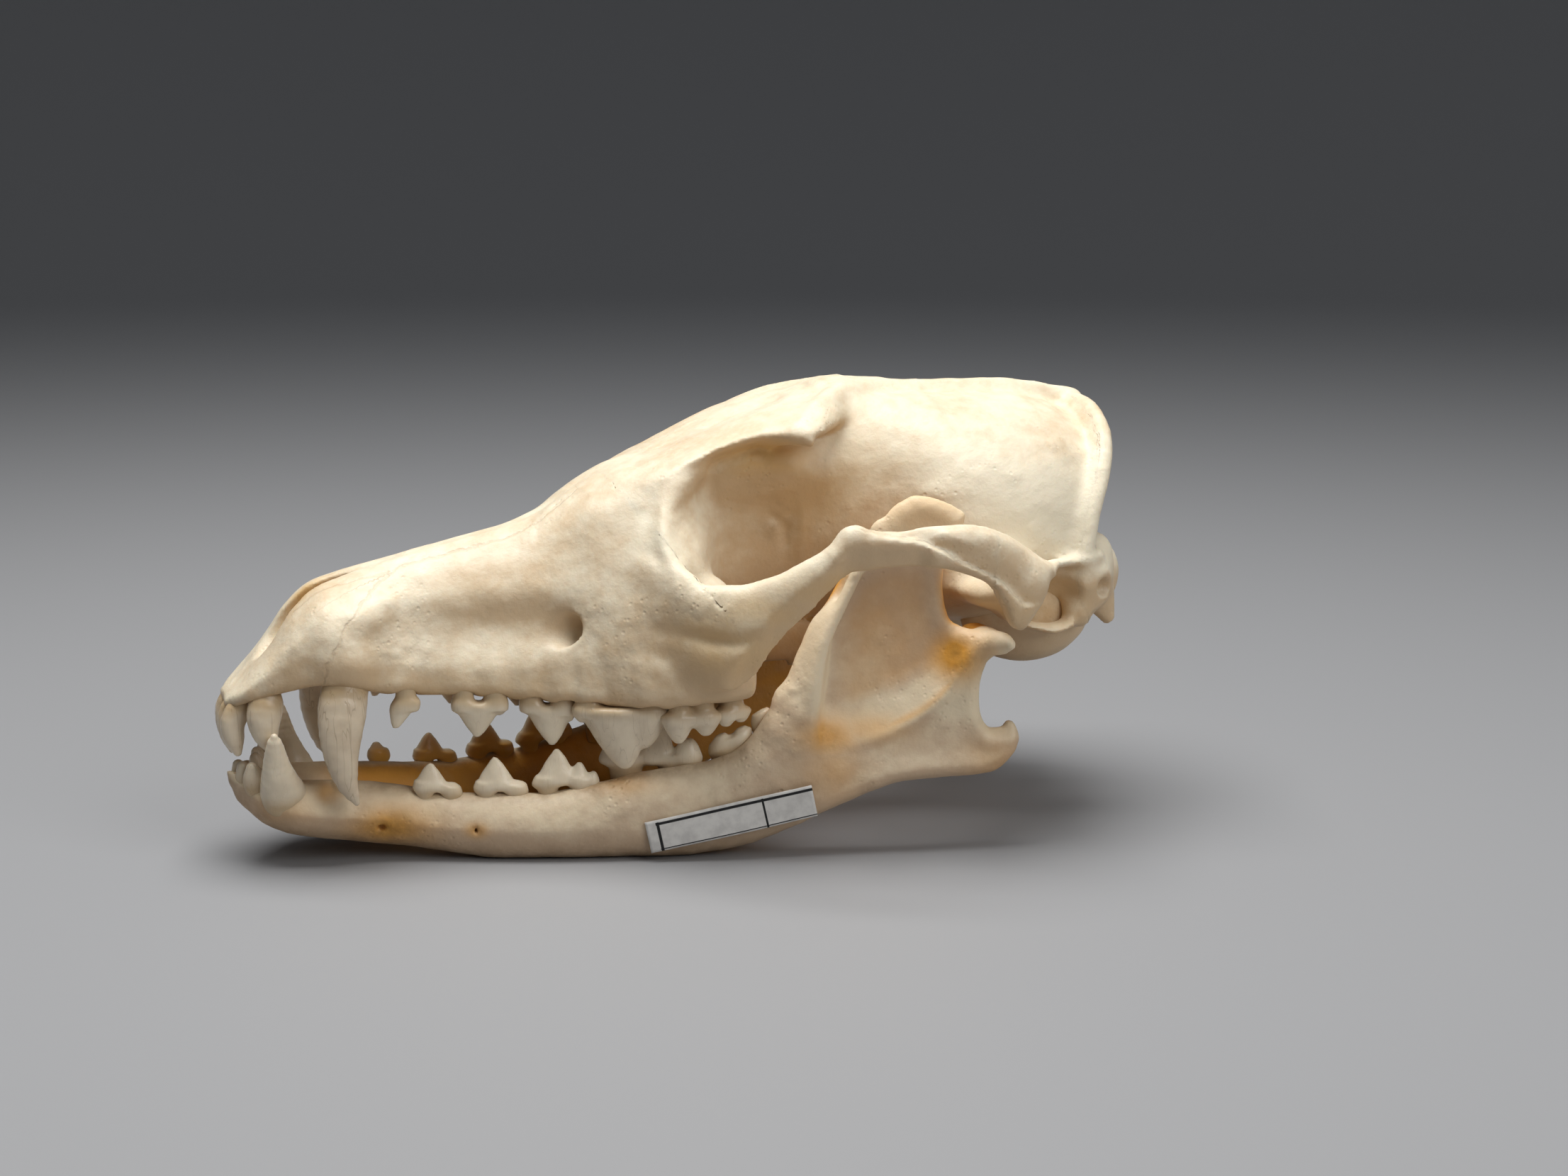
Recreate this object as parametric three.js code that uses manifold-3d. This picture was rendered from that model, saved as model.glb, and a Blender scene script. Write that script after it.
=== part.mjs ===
// A jackal's skull with its lower jaw, life size, lying as it rests on a table: the weight is on the lower
// borders of the two jaw halves, and the cranium sits on the jaw.
// Millimetres. While it is built, x runs back from the front of the upper jaw, y to the animal's right,
// and z up. The finished group is centred over the origin and stands on z = 0.
import * as THREE from "three";
import { mergeVertices } from "three/addons/utils/BufferGeometryUtils.js";
import Module from "manifold-3d";

const wasm = await Module();
wasm.setup();

// Driving sizes
const gap = 0.3;                // open line left between neighbouring bones
const cheekHalf = 42;           // half the width over the cheekbones
const brainHalf = 25.6;         // half the width of the braincase
const canineHalf = 13.4;        // half the width of the snout at the canines
const browHalf = 20.6;          // half the width over the brow points behind the eyes
const waistHalf = 14.5;         // half the width of the waist behind the brow points
const jawSlope = 0.245;         // how far each jaw half spreads for each millimetre backwards
const wall = 1.8;               // thickness of the braincase round its hollow
const rightJawSlip = 3;         // the right jaw half lies this far back from the left one
const tableLevel = 1;           // height of the table in the drawing
const label = { length: 27.2, height: 5.2, thick: 0.4, rise: 0.212, x: 76.6, z: 8.0, out: 4.15 };

// Smooth curve through [station, value] pairs that never swings past its knots.
function curve(...knots) {
  const at = knots.map((k) => k[0]);
  const value = knots.map((k) => k[1]);
  const last = knots.length - 1;
  const rise = (i) => (value[i + 1] - value[i]) / (at[i + 1] - at[i]);
  const slope = at.map((_, i) => {
    if (i === 0) return rise(0);
    if (i === last) return rise(last - 1);
    const a = rise(i - 1);
    const b = rise(i);
    return a * b <= 0 ? 0 : (2 * a * b) / (a + b);
  });
  return (s) => {
    if (s <= at[0]) return value[0];
    if (s >= at[last]) return value[last];
    let i = 0;
    while (s > at[i + 1]) i += 1;
    const h = at[i + 1] - at[i];
    const t = (s - at[i]) / h;
    const u = 1 - t;
    return value[i] * u * u * (1 + 2 * t) + value[i + 1] * t * t * (3 - 2 * t)
      + h * t * u * (slope[i] * u - slope[i + 1] * t);
  };
}

const spread = (from, to, count) => Array.from({ length: count + 1 }, (_, i) => (
  from + ((to - from) * i) / count));
const power = (v, n) => Math.sign(v) * Math.abs(v) ** n;

// Closed solid from positions and triangles, turned the right way out.
function solid(points, triangles) {
  let volume = 0;
  for (const [a, b, c] of triangles) {
    volume += points[a].clone().cross(points[b]).dot(points[c]);
  }
  const faces = volume < 0 ? triangles.map(([a, b, c]) => [a, c, b]) : triangles;
  return new wasm.Manifold(new wasm.Mesh({
    numProp: 3,
    vertProperties: Float32Array.from(points.flatMap((p) => [p.x, p.y, p.z])),
    triVerts: Uint32Array.from(faces.flat()),
  }));
}

// Skin over a row of rings with equal point counts, closed by a fan at each end.
function skin(rings) {
  const sides = rings[0].length;
  const points = rings.flat();
  const triangles = [];
  for (let r = 0; r + 1 < rings.length; r += 1) {
    for (let k = 0; k < sides; k += 1) {
      const a = r * sides + k;
      const b = r * sides + ((k + 1) % sides);
      triangles.push([a, b, b + sides], [a, b + sides, a + sides]);
    }
  }
  const middle = (ring) => ring.reduce((sum, p) => sum.add(p), new THREE.Vector3()).divideScalar(sides);
  const first = points.push(middle(rings[0])) - 1;
  const final = points.push(middle(rings[rings.length - 1])) - 1;
  const start = (rings.length - 1) * sides;
  for (let k = 0; k < sides; k += 1) {
    const next = (k + 1) % sides;
    triangles.push([first, next, k], [final, start + k, start + next]);
  }
  return solid(points, triangles);
}

// Bone drawn as upright sections along x: each a rounded box of a half width, a level where it is widest,
// a top and a bottom, squarer as its powers grow.
function hull(stations, sides, f) {
  return skin(stations.map((x) => Array.from({ length: sides }, (_, k) => {
    const angle = (2 * Math.PI * k) / sides;
    const up = Math.sin(angle) >= 0;
    const n = 2 / (up ? f.powerUp(x) : f.powerDown(x));
    const reach = up ? f.top(x) - f.level(x) : f.level(x) - f.bottom(x);
    const middle = f.middle ? f.middle(x) : 0;
    return new THREE.Vector3(x, middle + f.half(x) * power(Math.cos(angle), n),
      f.level(x) + reach * power(Math.sin(angle), n));
  })));
}

// Tapering rod along a smooth path: wide(t) across the given side direction, deep(t) the other way.
function rod(path, steps, sides, side, wide, deep, n = 2) {
  const line = new THREE.CatmullRomCurve3(path.map((p) => new THREE.Vector3(...p)));
  return skin(spread(0, 1, steps).map((t) => {
    const ahead = line.getTangent(t);
    const down = new THREE.Vector3().crossVectors(ahead, new THREE.Vector3(...side)).normalize();
    const across = new THREE.Vector3().crossVectors(down, ahead).normalize();
    const centre = line.getPoint(t);
    return Array.from({ length: sides }, (_, k) => {
      const angle = (2 * Math.PI * k) / sides;
      return centre.clone()
        .addScaledVector(across, wide(t) * power(Math.cos(angle), 2 / n))
        .addScaledVector(down, deep(t) * power(Math.sin(angle), 2 / n));
    });
  }));
}

function fromGeometry(geometry) {
  geometry.deleteAttribute("normal");
  geometry.deleteAttribute("uv");
  const merged = mergeVertices(geometry, 1e-4);
  const place = merged.getAttribute("position");
  const index = Array.from(merged.index.array);
  const points = Array.from({ length: place.count }, (_, i) => (
    new THREE.Vector3().fromBufferAttribute(place, i)));
  const faces = [];
  for (let i = 0; i < index.length; i += 3) {
    const [a, b, c] = index.slice(i, i + 3);
    if (a !== b && b !== c && a !== c) faces.push([a, b, c]);
  }
  return solid(points, faces);
}

function ball(centre, radii, across = 14, rows = 9) {
  return fromGeometry(new THREE.SphereGeometry(1, across, rows).rotateX(Math.PI / 2)
    .scale(...radii).translate(...centre));
}

// Large block on the inner side of a plane: point on the plane, and the normal that points out of the block.
function halfSpace(point, normal) {
  const size = 600;
  const out = new THREE.Vector3(...normal).normalize();
  const turn = new THREE.Quaternion().setFromUnitVectors(new THREE.Vector3(0, 0, 1), out);
  return fromGeometry(new THREE.BoxGeometry(size, size, size).translate(0, 0, -size / 2)
    .applyQuaternion(turn).translate(...point));
}

const join = (solids) => solids.reduce((sum, next) => sum.add(next));
const cut = (body, tools) => tools.reduce((rest, tool) => rest.subtract(tool), body);
const both = (make) => [-1, 1].map(make);
const largest = (body) => body.decompose().sort((a, b) => b.volume() - a.volume())[0];
const always = (value) => () => value;

// Cranium: the midline seen from the side
const roof = curve([0.6, 29.2], [3.4, 33.4], [6, 36.2], [8, 38.4], [11, 42.2], [15, 45.0], [18.4, 46.3],
  [26.4, 48.6], [35.6, 50.9], [44.9, 53.0], [49.6, 54.4], [56.7, 58.0], [61.5, 60.2], [66.3, 62.2], [76, 66.3],
  [85.8, 70.6], [95.7, 73.4], [104.5, 74.6], [116, 74.2], [132, 74.0], [141, 73.0], [146, 70.8]);
const toothLine = curve([0.6, 27.2], [4.5, 29.2], [8, 30.2], [16, 31.0], [25, 28.6], [38, 27.4], [52, 26.0],
  [63, 25.6], [76, 25.6], [84, 26.6]);

const snout = hull([0.6, 2, 4.5, 8, 12, 16, 20, 25, 31, 38, 45, 51, 56, 61, 66, 71], 20, {
  half: curve([0.6, 4.8], [2, 7.2], [4.5, 8.8], [8, 9.9], [12, 11.8], [16, canineHalf - 0.1], [20, canineHalf],
    [25, 12.6], [31, 12.2], [38, 12.9], [45, 14.3], [52, 16.9], [58, 20.2], [63, 23.2], [67, 25], [71, 25.4]),
  level: curve([0.6, 28.2], [4.5, 31], [10, 33.5], [16, 35], [25, 33], [38, 32], [52, 31], [71, 32]),
  top: roof,
  bottom: toothLine,
  powerUp: curve([0.6, 2], [16, 2.3], [25, 2], [40, 1.75], [55, 1.9], [66, 2.1]),
  powerDown: always(3.4),
});
const palate = hull([58, 64, 70, 75, 79, 82, 84], 16, {
  half: curve([58, 19], [66, 24.5], [71, 25.6], [76, 24.6], [80, 22], [82.5, 18], [84, 12]),
  level: always(31),
  top: curve([58, 37], [70, 37], [84, 34]),
  bottom: toothLine,
  powerUp: always(3),
  powerDown: always(3.4),
});
const eyeWall = hull([60, 66, 72, 80, 88, 95, 101, 107, 112], 16, {
  half: curve([60, 13], [70, 11.2], [80, 9.8], [90, 10.4], [97, 12.4], [104, waistHalf], [112, 18]),
  level: always(52),
  top: (x) => roof(x) - 1,
  bottom: curve([60, 33], [80, 33.4], [88, 35.6], [104, 35.4], [112, 34.6]),
  powerUp: always(2.6),
  powerDown: always(2.6),
});
const brow = hull([56, 61, 66, 71, 76, 81, 85, 88.5, 91, 93, 95, 98, 102], 16, {
  half: curve([56, 8.5], [62, 11.6], [68, 12.8], [74, 13.6], [80, 14.8], [86, 17.2], [90, 19.8],
    [92, browHalf], [94, browHalf - 0.8], [97, 16.2], [102, 10]),
  level: curve([56, 54.5], [66, 60], [74, 64], [80, 66.2], [86, 67.5], [92, 67.6], [102, 70]),
  top: roof,
  bottom: curve([56, 49], [66, 55], [74, 59.5], [86, 63.6], [92, 64.4], [102, 66]),
  powerUp: always(2),
  powerDown: always(1.8),
});
const brainStations = [97, 101, 105, 109, 113, 118, 124, 130, 135, 140, 144, 147, 149];
const brainWidth = curve([73, 6.5], [80, 9], [90, 9.8], [97, 12], [101, 13.6], [105, waistHalf + 1],
  [109, 18.6], [114, 22.4], [120, 24.8], [127, brainHalf], [135, brainHalf - 0.8], [140, 22.8], [145, 18],
  [149, 13]);
const brainTop = curve([73, 62.5], [80, 66.4], [88, 70], [97, 72.4], [104.5, 73.2], [112, 72.8], [132, 72.4],
  [138, 71.2], [143.5, 68], [149, 61]);
const brainLow = curve([73, 48], [80, 42], [88, 39.4], [97, 36.6], [112, 34], [128, 33.6], [144, 35],
  [150, 39]);
const brainLevel = curve([73, 56], [84, 55], [97, 54], [110, 51], [128, 49.5], [150, 49]);
const braincase = hull(brainStations, 22, {
  half: brainWidth,
  level: brainLevel,
  top: brainTop,
  bottom: brainLow,
  powerUp: always(2.2),
  powerDown: always(2.5),
});
const midCrest = rod([[104, 0, 73.2], [114, 0, 72.6], [130, 0, 72.4], [139, 0, 71.6], [147, 0, 69.4]],
  8, 6, [0, 1, 0], curve([0, 2.4], [0.4, 1.4], [1, 1.6]), always(1.7));
const templeRidge = both((side) => rod([[91, side * 17.5, 69.3], [96, side * 12, 72.2],
  [102, side * 5.5, 73.4], [109, 0, 73.0]], 5, 6, [0, 0, 1], always(1.3), always(1.8)));

// Back of the head: a shallow cup with the neck crest as its rim. Each ring is the crest outline drawn in by
// a share and moved along x; its rim leans forward at the sides.
const neckOutline = (angle) => {
  const y = 25 * power(Math.cos(angle), 0.86);
  const z = Math.sin(angle) >= 0 ? 44 + 26.6 * power(Math.sin(angle), 0.92) : 44 + 9 * Math.sin(angle);
  return [y, z];
};
const neckLean = curve([34, 143], [44, 139], [53, 140.6], [61, 144.2], [67, 146.6], [71, 147.2]);
const neckSides = 22;
const neckMiddle = 50;
const neckRings = [[0.6, -3.2], [0.9, -3.4], [0.97, -2], [1, -0.4], [0.98, 0.8], [0.9, -0.2], [0.55, 0]];
const neckCup = skin(neckRings.map(([share, move]) => Array.from({ length: neckSides }, (_, k) => {
  const [y, z] = neckOutline((2 * Math.PI * k) / neckSides);
  return new THREE.Vector3(neckLean(z) + move, y * share, neckMiddle + (z - neckMiddle) * share);
})));
const condyle = both((side) => ball([147, side * 8.2, 41], [5.2, 5.4, 6.4], 10, 7));
const neckSpur = both((side) => rod([[141.5, side * 19.4, 45], [143.4, side * 20, 38.5],
  [145.9, side * 20.2, 32.9]], 3, 6, [0, 1, 0], curve([0, 4], [1, 1.3]), curve([0, 3.4], [1, 1])));
const earDrum = both((side) => ball([132, side * 14.6, 36.2], [11.2, 7.8, 8.2], 14, 10));
const throatPlate = both((side) => rod([[77, side * 8.8, 33.4], [86, side * 8.4, 32.2], [95, side * 7.6, 31.4],
  [99.5, side * 7.2, 30.4]], 4, 6, [0, 1, 0], curve([0, 1.6], [1, 1.1]),
curve([0, 4.6], [0.8, 3.6], [1, 1.6])));

// Cheekbone: its edges seen from the side, its bow seen from above
const cheekTop = curve([66, 48.8], [69, 47], [72, 46.5], [76.6, 46.9], [81.2, 48.4], [85.9, 51.2],
  [89.4, 53.6], [91.4, 56.6], [93, 56.8], [95.6, 55.8], [99.3, 55.5], [104, 55.9], [109, 56.0],
  [113.5, 55.5], [118.3, 53.9], [123.2, 51], [127, 48.4], [128.4, 46.8]);
const cheekLow = curve([66, 34], [74, 31.6], [79, 31.6], [81.7, 36.4], [84.1, 39.4], [87.6, 43.4], [90, 46.4],
  [93, 48.6], [97, 49.4], [101.7, 49.8], [106.5, 49.4], [111, 48.4], [115, 46.8], [117.6, 42.6], [120, 39.6],
  [123, 42], [126, 44.6], [128.4, 45.6]);
const bow = curve([66, 22.5], [70, 26], [76, 31], [82, 34.8], [88, 37.8], [95, 40], [102, 41], [110, 40.8],
  [118, 38.8], [124, 35.8], [128.4, 32.5]);
const bowThick = curve([66, 3.4], [72, 3.8], [80, 3], [90, 2.1], [100, 1.7], [110, 2], [118, 2.6], [125, 3.2],
  [128.4, 2]);
const widen = cheekHalf / 42.7;
const cheekBar = both((side) => hull([66, 69, 72, 75, 78, 80.5, 83, 86, 89, 91.4, 93.5, 97, 101, 106, 111, 115,
  118, 120.5, 123, 125.8, 128.2], 10, {
  half: bowThick,
  middle: (x) => side * widen * bow(x),
  level: (x) => (cheekTop(x) + cheekLow(x)) / 2,
  top: cheekTop,
  bottom: cheekLow,
  powerUp: always(2.3),
  powerDown: always(2.3),
}));
const jawSocket = both((side) => rod([[122.6, side * 19, 43.6], [123, side * 28, 43.8],
  [122.6, side * 36, 44.6]], 3, 8, [1, 0, 0], curve([0, 8], [0.5, 5.4], [1, 4.6]),
curve([0, 5], [0.5, 3.4], [1, 3.4])));
const jawStop = both((side) => ball([122.8, side * 30, 41], [2.1, 6.6, 3], 10, 8));

// What is hollow
const nostril = rod([[-4, 0, 39.5], [4, 0, 39.2], [10, 0, 39.4], [18, 0, 40]], 6, 14, [0, 1, 0],
  curve([0, 7], [0.45, 6.4], [1, 4]), curve([0, 8], [0.45, 5.2], [1, 3.4]));
const roofOfMouth = hull([8, 20, 32, 44, 56, 66, 76, 88], 12, {
  half: curve([8, 5], [20, 8], [40, 9.4], [56, 12], [66, 15.5], [76, 16.4], [88, 15]),
  level: (x) => toothLine(x) - 0.6,
  top: (x) => toothLine(x) + 2.4,
  bottom: (x) => toothLine(x) - 4,
  powerUp: always(2.4),
  powerDown: always(3),
});
const throat = ball([88, 0, 34], [13, 6.2, 4.4], 12, 8);
const drumHole = both((side) => ball([132, side * 14.6, 36.2], [9.4, 6, 6.4], 12, 8));
const eyeSocket = both((side) => ball([84.6, side * 27.4, 56.6], [17.2, 16, 10.4], 16, 10));
const cheekHole = both((side) => rod([[40, side * 18.4, 39.6], [49, side * 18.2, 38.2], [57, side * 17.6, 37]],
  3, 8, [0, 1, 0], curve([0, 4.4], [0.6, 2], [1, 1.2]), curve([0, 4.2], [0.6, 2.6], [1, 1.6])));
const brainHole = hull([73, 80, 88, 97, 104, 109, 114, 120, 128, 135, 141, 145.5], 14, {
  half: (x) => brainWidth(x) - wall,
  level: brainLevel,
  top: (x) => brainTop(x) - wall,
  bottom: (x) => brainLow(x) + wall,
  powerUp: always(2.1),
  powerDown: always(2.3),
});
const neckHole = rod([[136, 0, 47], [146, 0, 45], [158, 0, 43]], 4, 14, [0, 1, 0],
  curve([0, 6.4], [1, 7]), curve([0, 5.6], [1, 6]));

// Tooth: a crown stacked from an oval foot to a ridge or point. Foot centre, length along x, width,
// the height of the crown (negative hangs down), where the tip stands, and how long the tip ridge is.
function crown(foot, length, width, height, tip, ridge, waist = 0.8) {
  const sink = -Math.sign(height) * 2.4;
  const rows = [[sink, 0.8, 0.8, 0], [height * 0.1, 1, 1, 0.1],
    [height * 0.6, (waist + ridge) / 2, waist * 0.75, 0.6], [height, ridge, 0.16, 1]];
  return skin(rows.map(([up, long, wide, shift]) => Array.from({ length: 6 }, (_, k) => {
    const angle = (Math.PI * (k + 0.5)) / 3;
    return new THREE.Vector3(
      foot[0] + tip[0] * shift + (length / 2) * long * Math.cos(angle),
      foot[1] + tip[1] * shift + (width / 2) * wide * Math.sin(angle),
      foot[2] + up);
  })));
}

function upperTeeth(side) {
  const frontTeeth = [
    [1.6, 1.9, 3.4, 3.2, -8.6, -1],
    [2.4, 5, 3.8, 3.4, -9.4, -1.2],
    [6.2, 8.2, 5.4, 4, -9.2, -0.4],
  ];
  const teeth = frontTeeth.map(([x, y, long, wide, tall, tip]) => (
    crown([x, side * y, toothLine(x) + 0.4], long, wide, tall, [tip, side * 0.2], 0.3)));
  teeth.push(rod([[19, side * 11, 37], [18.3, side * 12, 31.2], [17.4, side * 13, 26], [16.9, side * 13.7, 21],
    [17.4, side * 14.1, 16.6], [19.1, side * 14.3, 12.4]], 8, 8, [0, 1, 0],
  curve([0, 2.4], [0.4, 2.5], [0.7, 1.9], [1, 0.3]),
  curve([0, 3.2], [0.4, 3.8], [0.7, 2.6], [0.9, 1.5], [1, 0.3])));
  const cheekTeeth = [
    [27.6, 11.4, 4.4, 3, 5.6, -1.6, 0.2],   // first premolar
    [39.2, 11.8, 8.8, 3.6, 7, -0.5, 0.14],
    [49.8, 13.6, 8.8, 3.8, 7.3, 0.8, 0.14],
    [58.4, 18.4, 10.6, 4.4, 10.9, 2.2, 0.12], // the front blade of the shearing tooth
    [65.2, 21.2, 7.2, 4.4, 9.2, 0.8, 0.6],  // and its back blade
    [69.6, 22.8, 5, 4.2, 7.4, 0, 0.3],      // the outer cusps of the first molar
    [73.2, 22.4, 4.6, 4.2, 6.2, 0, 0.3],
    [71.4, 18, 6.2, 9, 3.6, 0, 0.6],        // and its inner shelf
    [78.4, 19.6, 6, 7.4, 5, 0, 0.5],        // second molar
  ];
  for (const [x, y, long, wide, tall, tip, ridge] of cheekTeeth) {
    teeth.push(crown([x, side * y, toothLine(x) + 0.4], long, wide, -tall, [tip, side * 0.4], ridge));
  }
  return teeth;
}

const bonded = [snout, palate, eyeWall, brow, braincase, midCrest, neckCup, ...templeRidge, ...condyle,
  ...neckSpur, ...earDrum, ...throatPlate, ...cheekBar, ...jawSocket, ...jawStop];
const hollows = [nostril, roofOfMouth, throat, ...drumHole, ...eyeSocket, ...cheekHole, brainHole, neckHole];
const cranium = join([cut(join(bonded), hollows), ...upperTeeth(-1), ...upperTeeth(1)]);

// Lower jaw half: side -1 is the left half. The body runs along x, the branch behind it is stacked upwards.
const jawTop = curve([0.3, 16.4], [3, 15.8], [8, 14.8], [14, 14.2], [20, 13.7], [27.6, 12.7], [36, 11.6],
  [47, 11.6], [56, 13], [63.5, 14.8], [70, 15.8], [75, 16.7], [82.6, 20.2], [88, 26], [94, 34]);
const jawLow = curve([0.3, 14.6], [1.9, 11.2], [4, 8.9], [7.2, 6.8], [10.5, 5.6], [18.4, 4.1], [25, 3.1],
  [30.2, 2.4], [35.5, 1.7], [41, tableLevel], [76.6, tableLevel], [80, 2.3], [85.3, 4.6], [91, 7.2],
  [94, 8.6]);
const branchFront = curve([6.6, 85], [14, 86], [22, 85.6], [27, 85.4], [30.5, 87.6], [36, 89.6], [40, 92],
  [43.3, 94.3], [53.8, 100.3], [57.6, 103.2], [59.2, 106]);
const branchBack = curve([6.6, 89.6], [8.2, 93.2], [9.8, 96.8], [11.4, 100.6], [12.6, 107], [13.2, 116],
  [15, 120], [17, 121.6], [19.4, 121], [20.4, 118.4], [22.4, 117], [25.6, 116.6], [28, 116.6],
  [31.3, 117.6], [33.6, 119], [36.2, 118.6], [37.8, 113.4], [39.4, 110.2], [43, 110.6],
  [48, 111.2], [53, 113], [55.8, 113.4], [57.8, 111], [59.2, 107]);
const branchThick = curve([6.6, 2.2], [14, 2.5], [20, 2.2], [30, 1.7], [40, 1.4], [50, 1.2], [59.2, 0.7]);
const jawLine = (x) => 22.8 + (x - 80) * jawSlope;

function lowerJaw(side, missing) {
  const stations = [0.3, 1.2, 2.6, 4.6, 7.2, 10.5, 15, 21, 27, 33, 41, 48, 55, 62, 69, 76.6, 80, 85.3, 91, 94];
  const body = hull(stations, 12, {
    half: curve([0.3, 2], [2.6, 3.2], [5, 4], [12, 5], [20, 5.2], [26, 5], [36, 4.4], [50, 4.1], [65, 4.1],
      [80, 3.6], [94, 2.6]),
    middle: (x) => side * curve([0.3, 2.8], [2.6, 3.5], [5, 4.3], [12, 5.3], [20, 5.6], [26, 6.6], [36, 10.4],
      [50, 15.2], [65, 19.1], [80, 22.8], [94, 26.2])(x),
    level: (x) => (jawTop(x) + jawLow(x)) / 2,
    top: jawTop,
    bottom: jawLow,
    powerUp: always(2.8),
    powerDown: always(2.6),
  });
  const levels = [6.6, 8.2, 9.8, 11.4, 12.5, 13.4, 15.2, 17, 19.2, 20.3, 22, 25, 28, 31.3, 34, 36.2, 37.8,
    39.4, 43, 48, 52.5, 55.8, 57.8, 59.2];
  const branch = skin(levels.map((z) => Array.from({ length: 10 }, (_, k) => {
    const angle = (2 * Math.PI * k) / 10;
    const x = (branchFront(z) + branchBack(z)) / 2
      + ((branchBack(z) - branchFront(z)) / 2) * power(Math.cos(angle), 0.8);
    return new THREE.Vector3(x, side * (jawLine(x) - 0.2) + branchThick(z) * power(Math.sin(angle), 0.8), z);
  })));
  const frontRidge = rod([[86.5, side * 26.4, 9], [88.6, side * 27.6, 20], [90.4, side * 28, 31],
    [95.6, side * 28.2, 43], [101.6, side * 28.8, 54]], 7, 6, [0, 1, 0], curve([0, 2], [0.6, 1.8], [1, 0.9]),
  curve([0, 2.4], [0.6, 1.7], [1, 0.9]));
  const hinge = rod([[118.4, side * 22.6, 34.8], [118.6, side * 30, 34.6], [119.2, side * 37.4, 35.2]], 6, 8,
    [1, 0, 0], curve([0, 0.9], [0.2, 2.5], [0.8, 2.8], [1, 1]),
  curve([0, 0.9], [0.2, 2.3], [0.8, 2.5], [1, 0.9]));
  const hook = rod([[112, side * 30, 15.6], [119, side * 30.8, 15.9], [121.9, side * 31, 18],
    [122, side * 31, 21.2]], 5, 6, [0, 1, 0], curve([0, 2.6], [0.7, 1.8], [1, 0.7]),
  curve([0, 2.2], [0.7, 1.6], [1, 0.6]));
  const chewHollow = ball([105, side * 36.6, 29], [12.4, 7.6, 13.4], 12, 8);
  const teeth = [[2.6, 1.7, 2.4], [3.4, 3.9, 2.6], [4.8, 6.1, 3]].map(
    ([x, y, long]) => crown([x, side * y, jawTop(x) - 2.4], long, 2.3, 4.2, [-0.8, side * 0.1], 0.6));
  teeth.push(rod([[12, side * 6.4, 8.6], [8.9, side * 7.5, 12], [7.5, side * 9.4, 17.2],
    [7.5, side * 10.8, 21], [7.9, side * 11.7, 23.5]], 7, 8, [0, 1, 0],
  curve([0, 2.4], [0.4, 2.5], [0.8, 1.5], [1, 0.3]), curve([0, 3], [0.3, 3.6], [0.6, 2.4], [0.85, 1.4], [1, 0.3])));
  const cheekTeeth = [
    ["first", 22.8, 8.6, 4, 2.8, 3.6, -0.6, 0.2],
    ["second", 32.3, 10, 7.8, 3.4, 5.2, -0.5, 0.16],
    ["third", 42.1, 12.4, 9, 3.6, 6.5, -0.4, 0.14],
    ["fourth", 52, 15, 10.2, 3.8, 6.8, -1.2, 0.16],
    ["shearFront", 60.6, 14.2, 7.6, 4.2, 7.4, 0.4, 0.5],
    ["shearTall", 66.2, 15.8, 7.4, 4.6, 9, 0.6, 0.22],
    ["shearHeel", 71.8, 17.4, 6.2, 5.2, 4.2, 0, 0.6],
    ["fifth", 77.6, 19.6, 6.4, 4.8, 2.9, 0, 0.55],
    ["sixth", 82.8, 21.2, 3.4, 3.2, 2.2, 0, 0.4],
  ];
  for (const [name, x, y, long, wide, tall, tip, ridge] of cheekTeeth) {
    if (name !== missing) {
      teeth.push(crown([x, side * y, jawTop(x) - 0.4], long, wide, tall, [tip, 0], ridge));
    }
  }
  const table = halfSpace([0, 0, tableLevel], [0, 0, 1]);
  const middle = halfSpace([0, side * gap / 2, 0], [0, side, 0]);
  return cut(join([body, branch, frontRidge, hinge, hook, ...teeth]), [chewHollow, table, middle]);
}

// Part the cranium into its bones with open lines of the same width. The near side of a plane stops half a
// line short of it, the far side begins half a line past it, and the wide side half a line before it.
function seam(point, normal) {
  const out = new THREE.Vector3(...normal).normalize();
  const back = out.clone().negate().toArray();
  const moved = (way) => new THREE.Vector3(...point).addScaledVector(out, (way * gap) / 2).toArray();
  return {
    near: halfSpace(moved(-1), normal),
    far: halfSpace(moved(1), back),
    wide: halfSpace(moved(-1), back),
  };
}
const faceSeam = seam([72, 0, 46], [36, 0, 24]);
const backSeam = seam([140.5, 0, 50], [39, 0, -6]);
const cheekSeams = both((side) => [
  seam([66, side * 21.6, 0], [-0.165, side, 0]),
  seam([68, 0, 48.5], [14.5, 0, 11.5]),
]);
const cheeks = cheekSeams.map(([outer, front]) => cranium.intersect(outer.far).intersect(front.far));
const inner = cut(cranium, cheekSeams.map(([outer, front]) => outer.wide.intersect(front.wide)));

const drumBlock = (side, more) => fromGeometry(new THREE.BoxGeometry(22.4 + more, 18 + more, 20 + more)
  .translate(131.7, side * 14.2, 24.2));
const drums = both((side) => inner.intersect(drumBlock(side, 0)));
const skullBody = cut(inner, both((side) => drumBlock(side, 2 * gap)));

const colour = { rostrum: 0xdccfb8, braincase: 0xe6dcc6, occiput: 0xe0d4bc, cheekbone: 0xe2d6be,
  drum: 0xe8dcc4, jaw: 0xcdb79c, label: 0xeae6da };

function piece(name, body, tint) {
  const mesh = largest(body).getMesh();
  const geometry = new THREE.BufferGeometry();
  geometry.setAttribute("position", new THREE.BufferAttribute(Float32Array.from(mesh.vertProperties), 3));
  geometry.setIndex(Array.from(mesh.triVerts));
  geometry.computeVertexNormals();
  const part = new THREE.Mesh(geometry, new THREE.MeshStandardMaterial({ color: tint, roughness: 0.55 }));
  part.name = name;
  return part;
}

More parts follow.
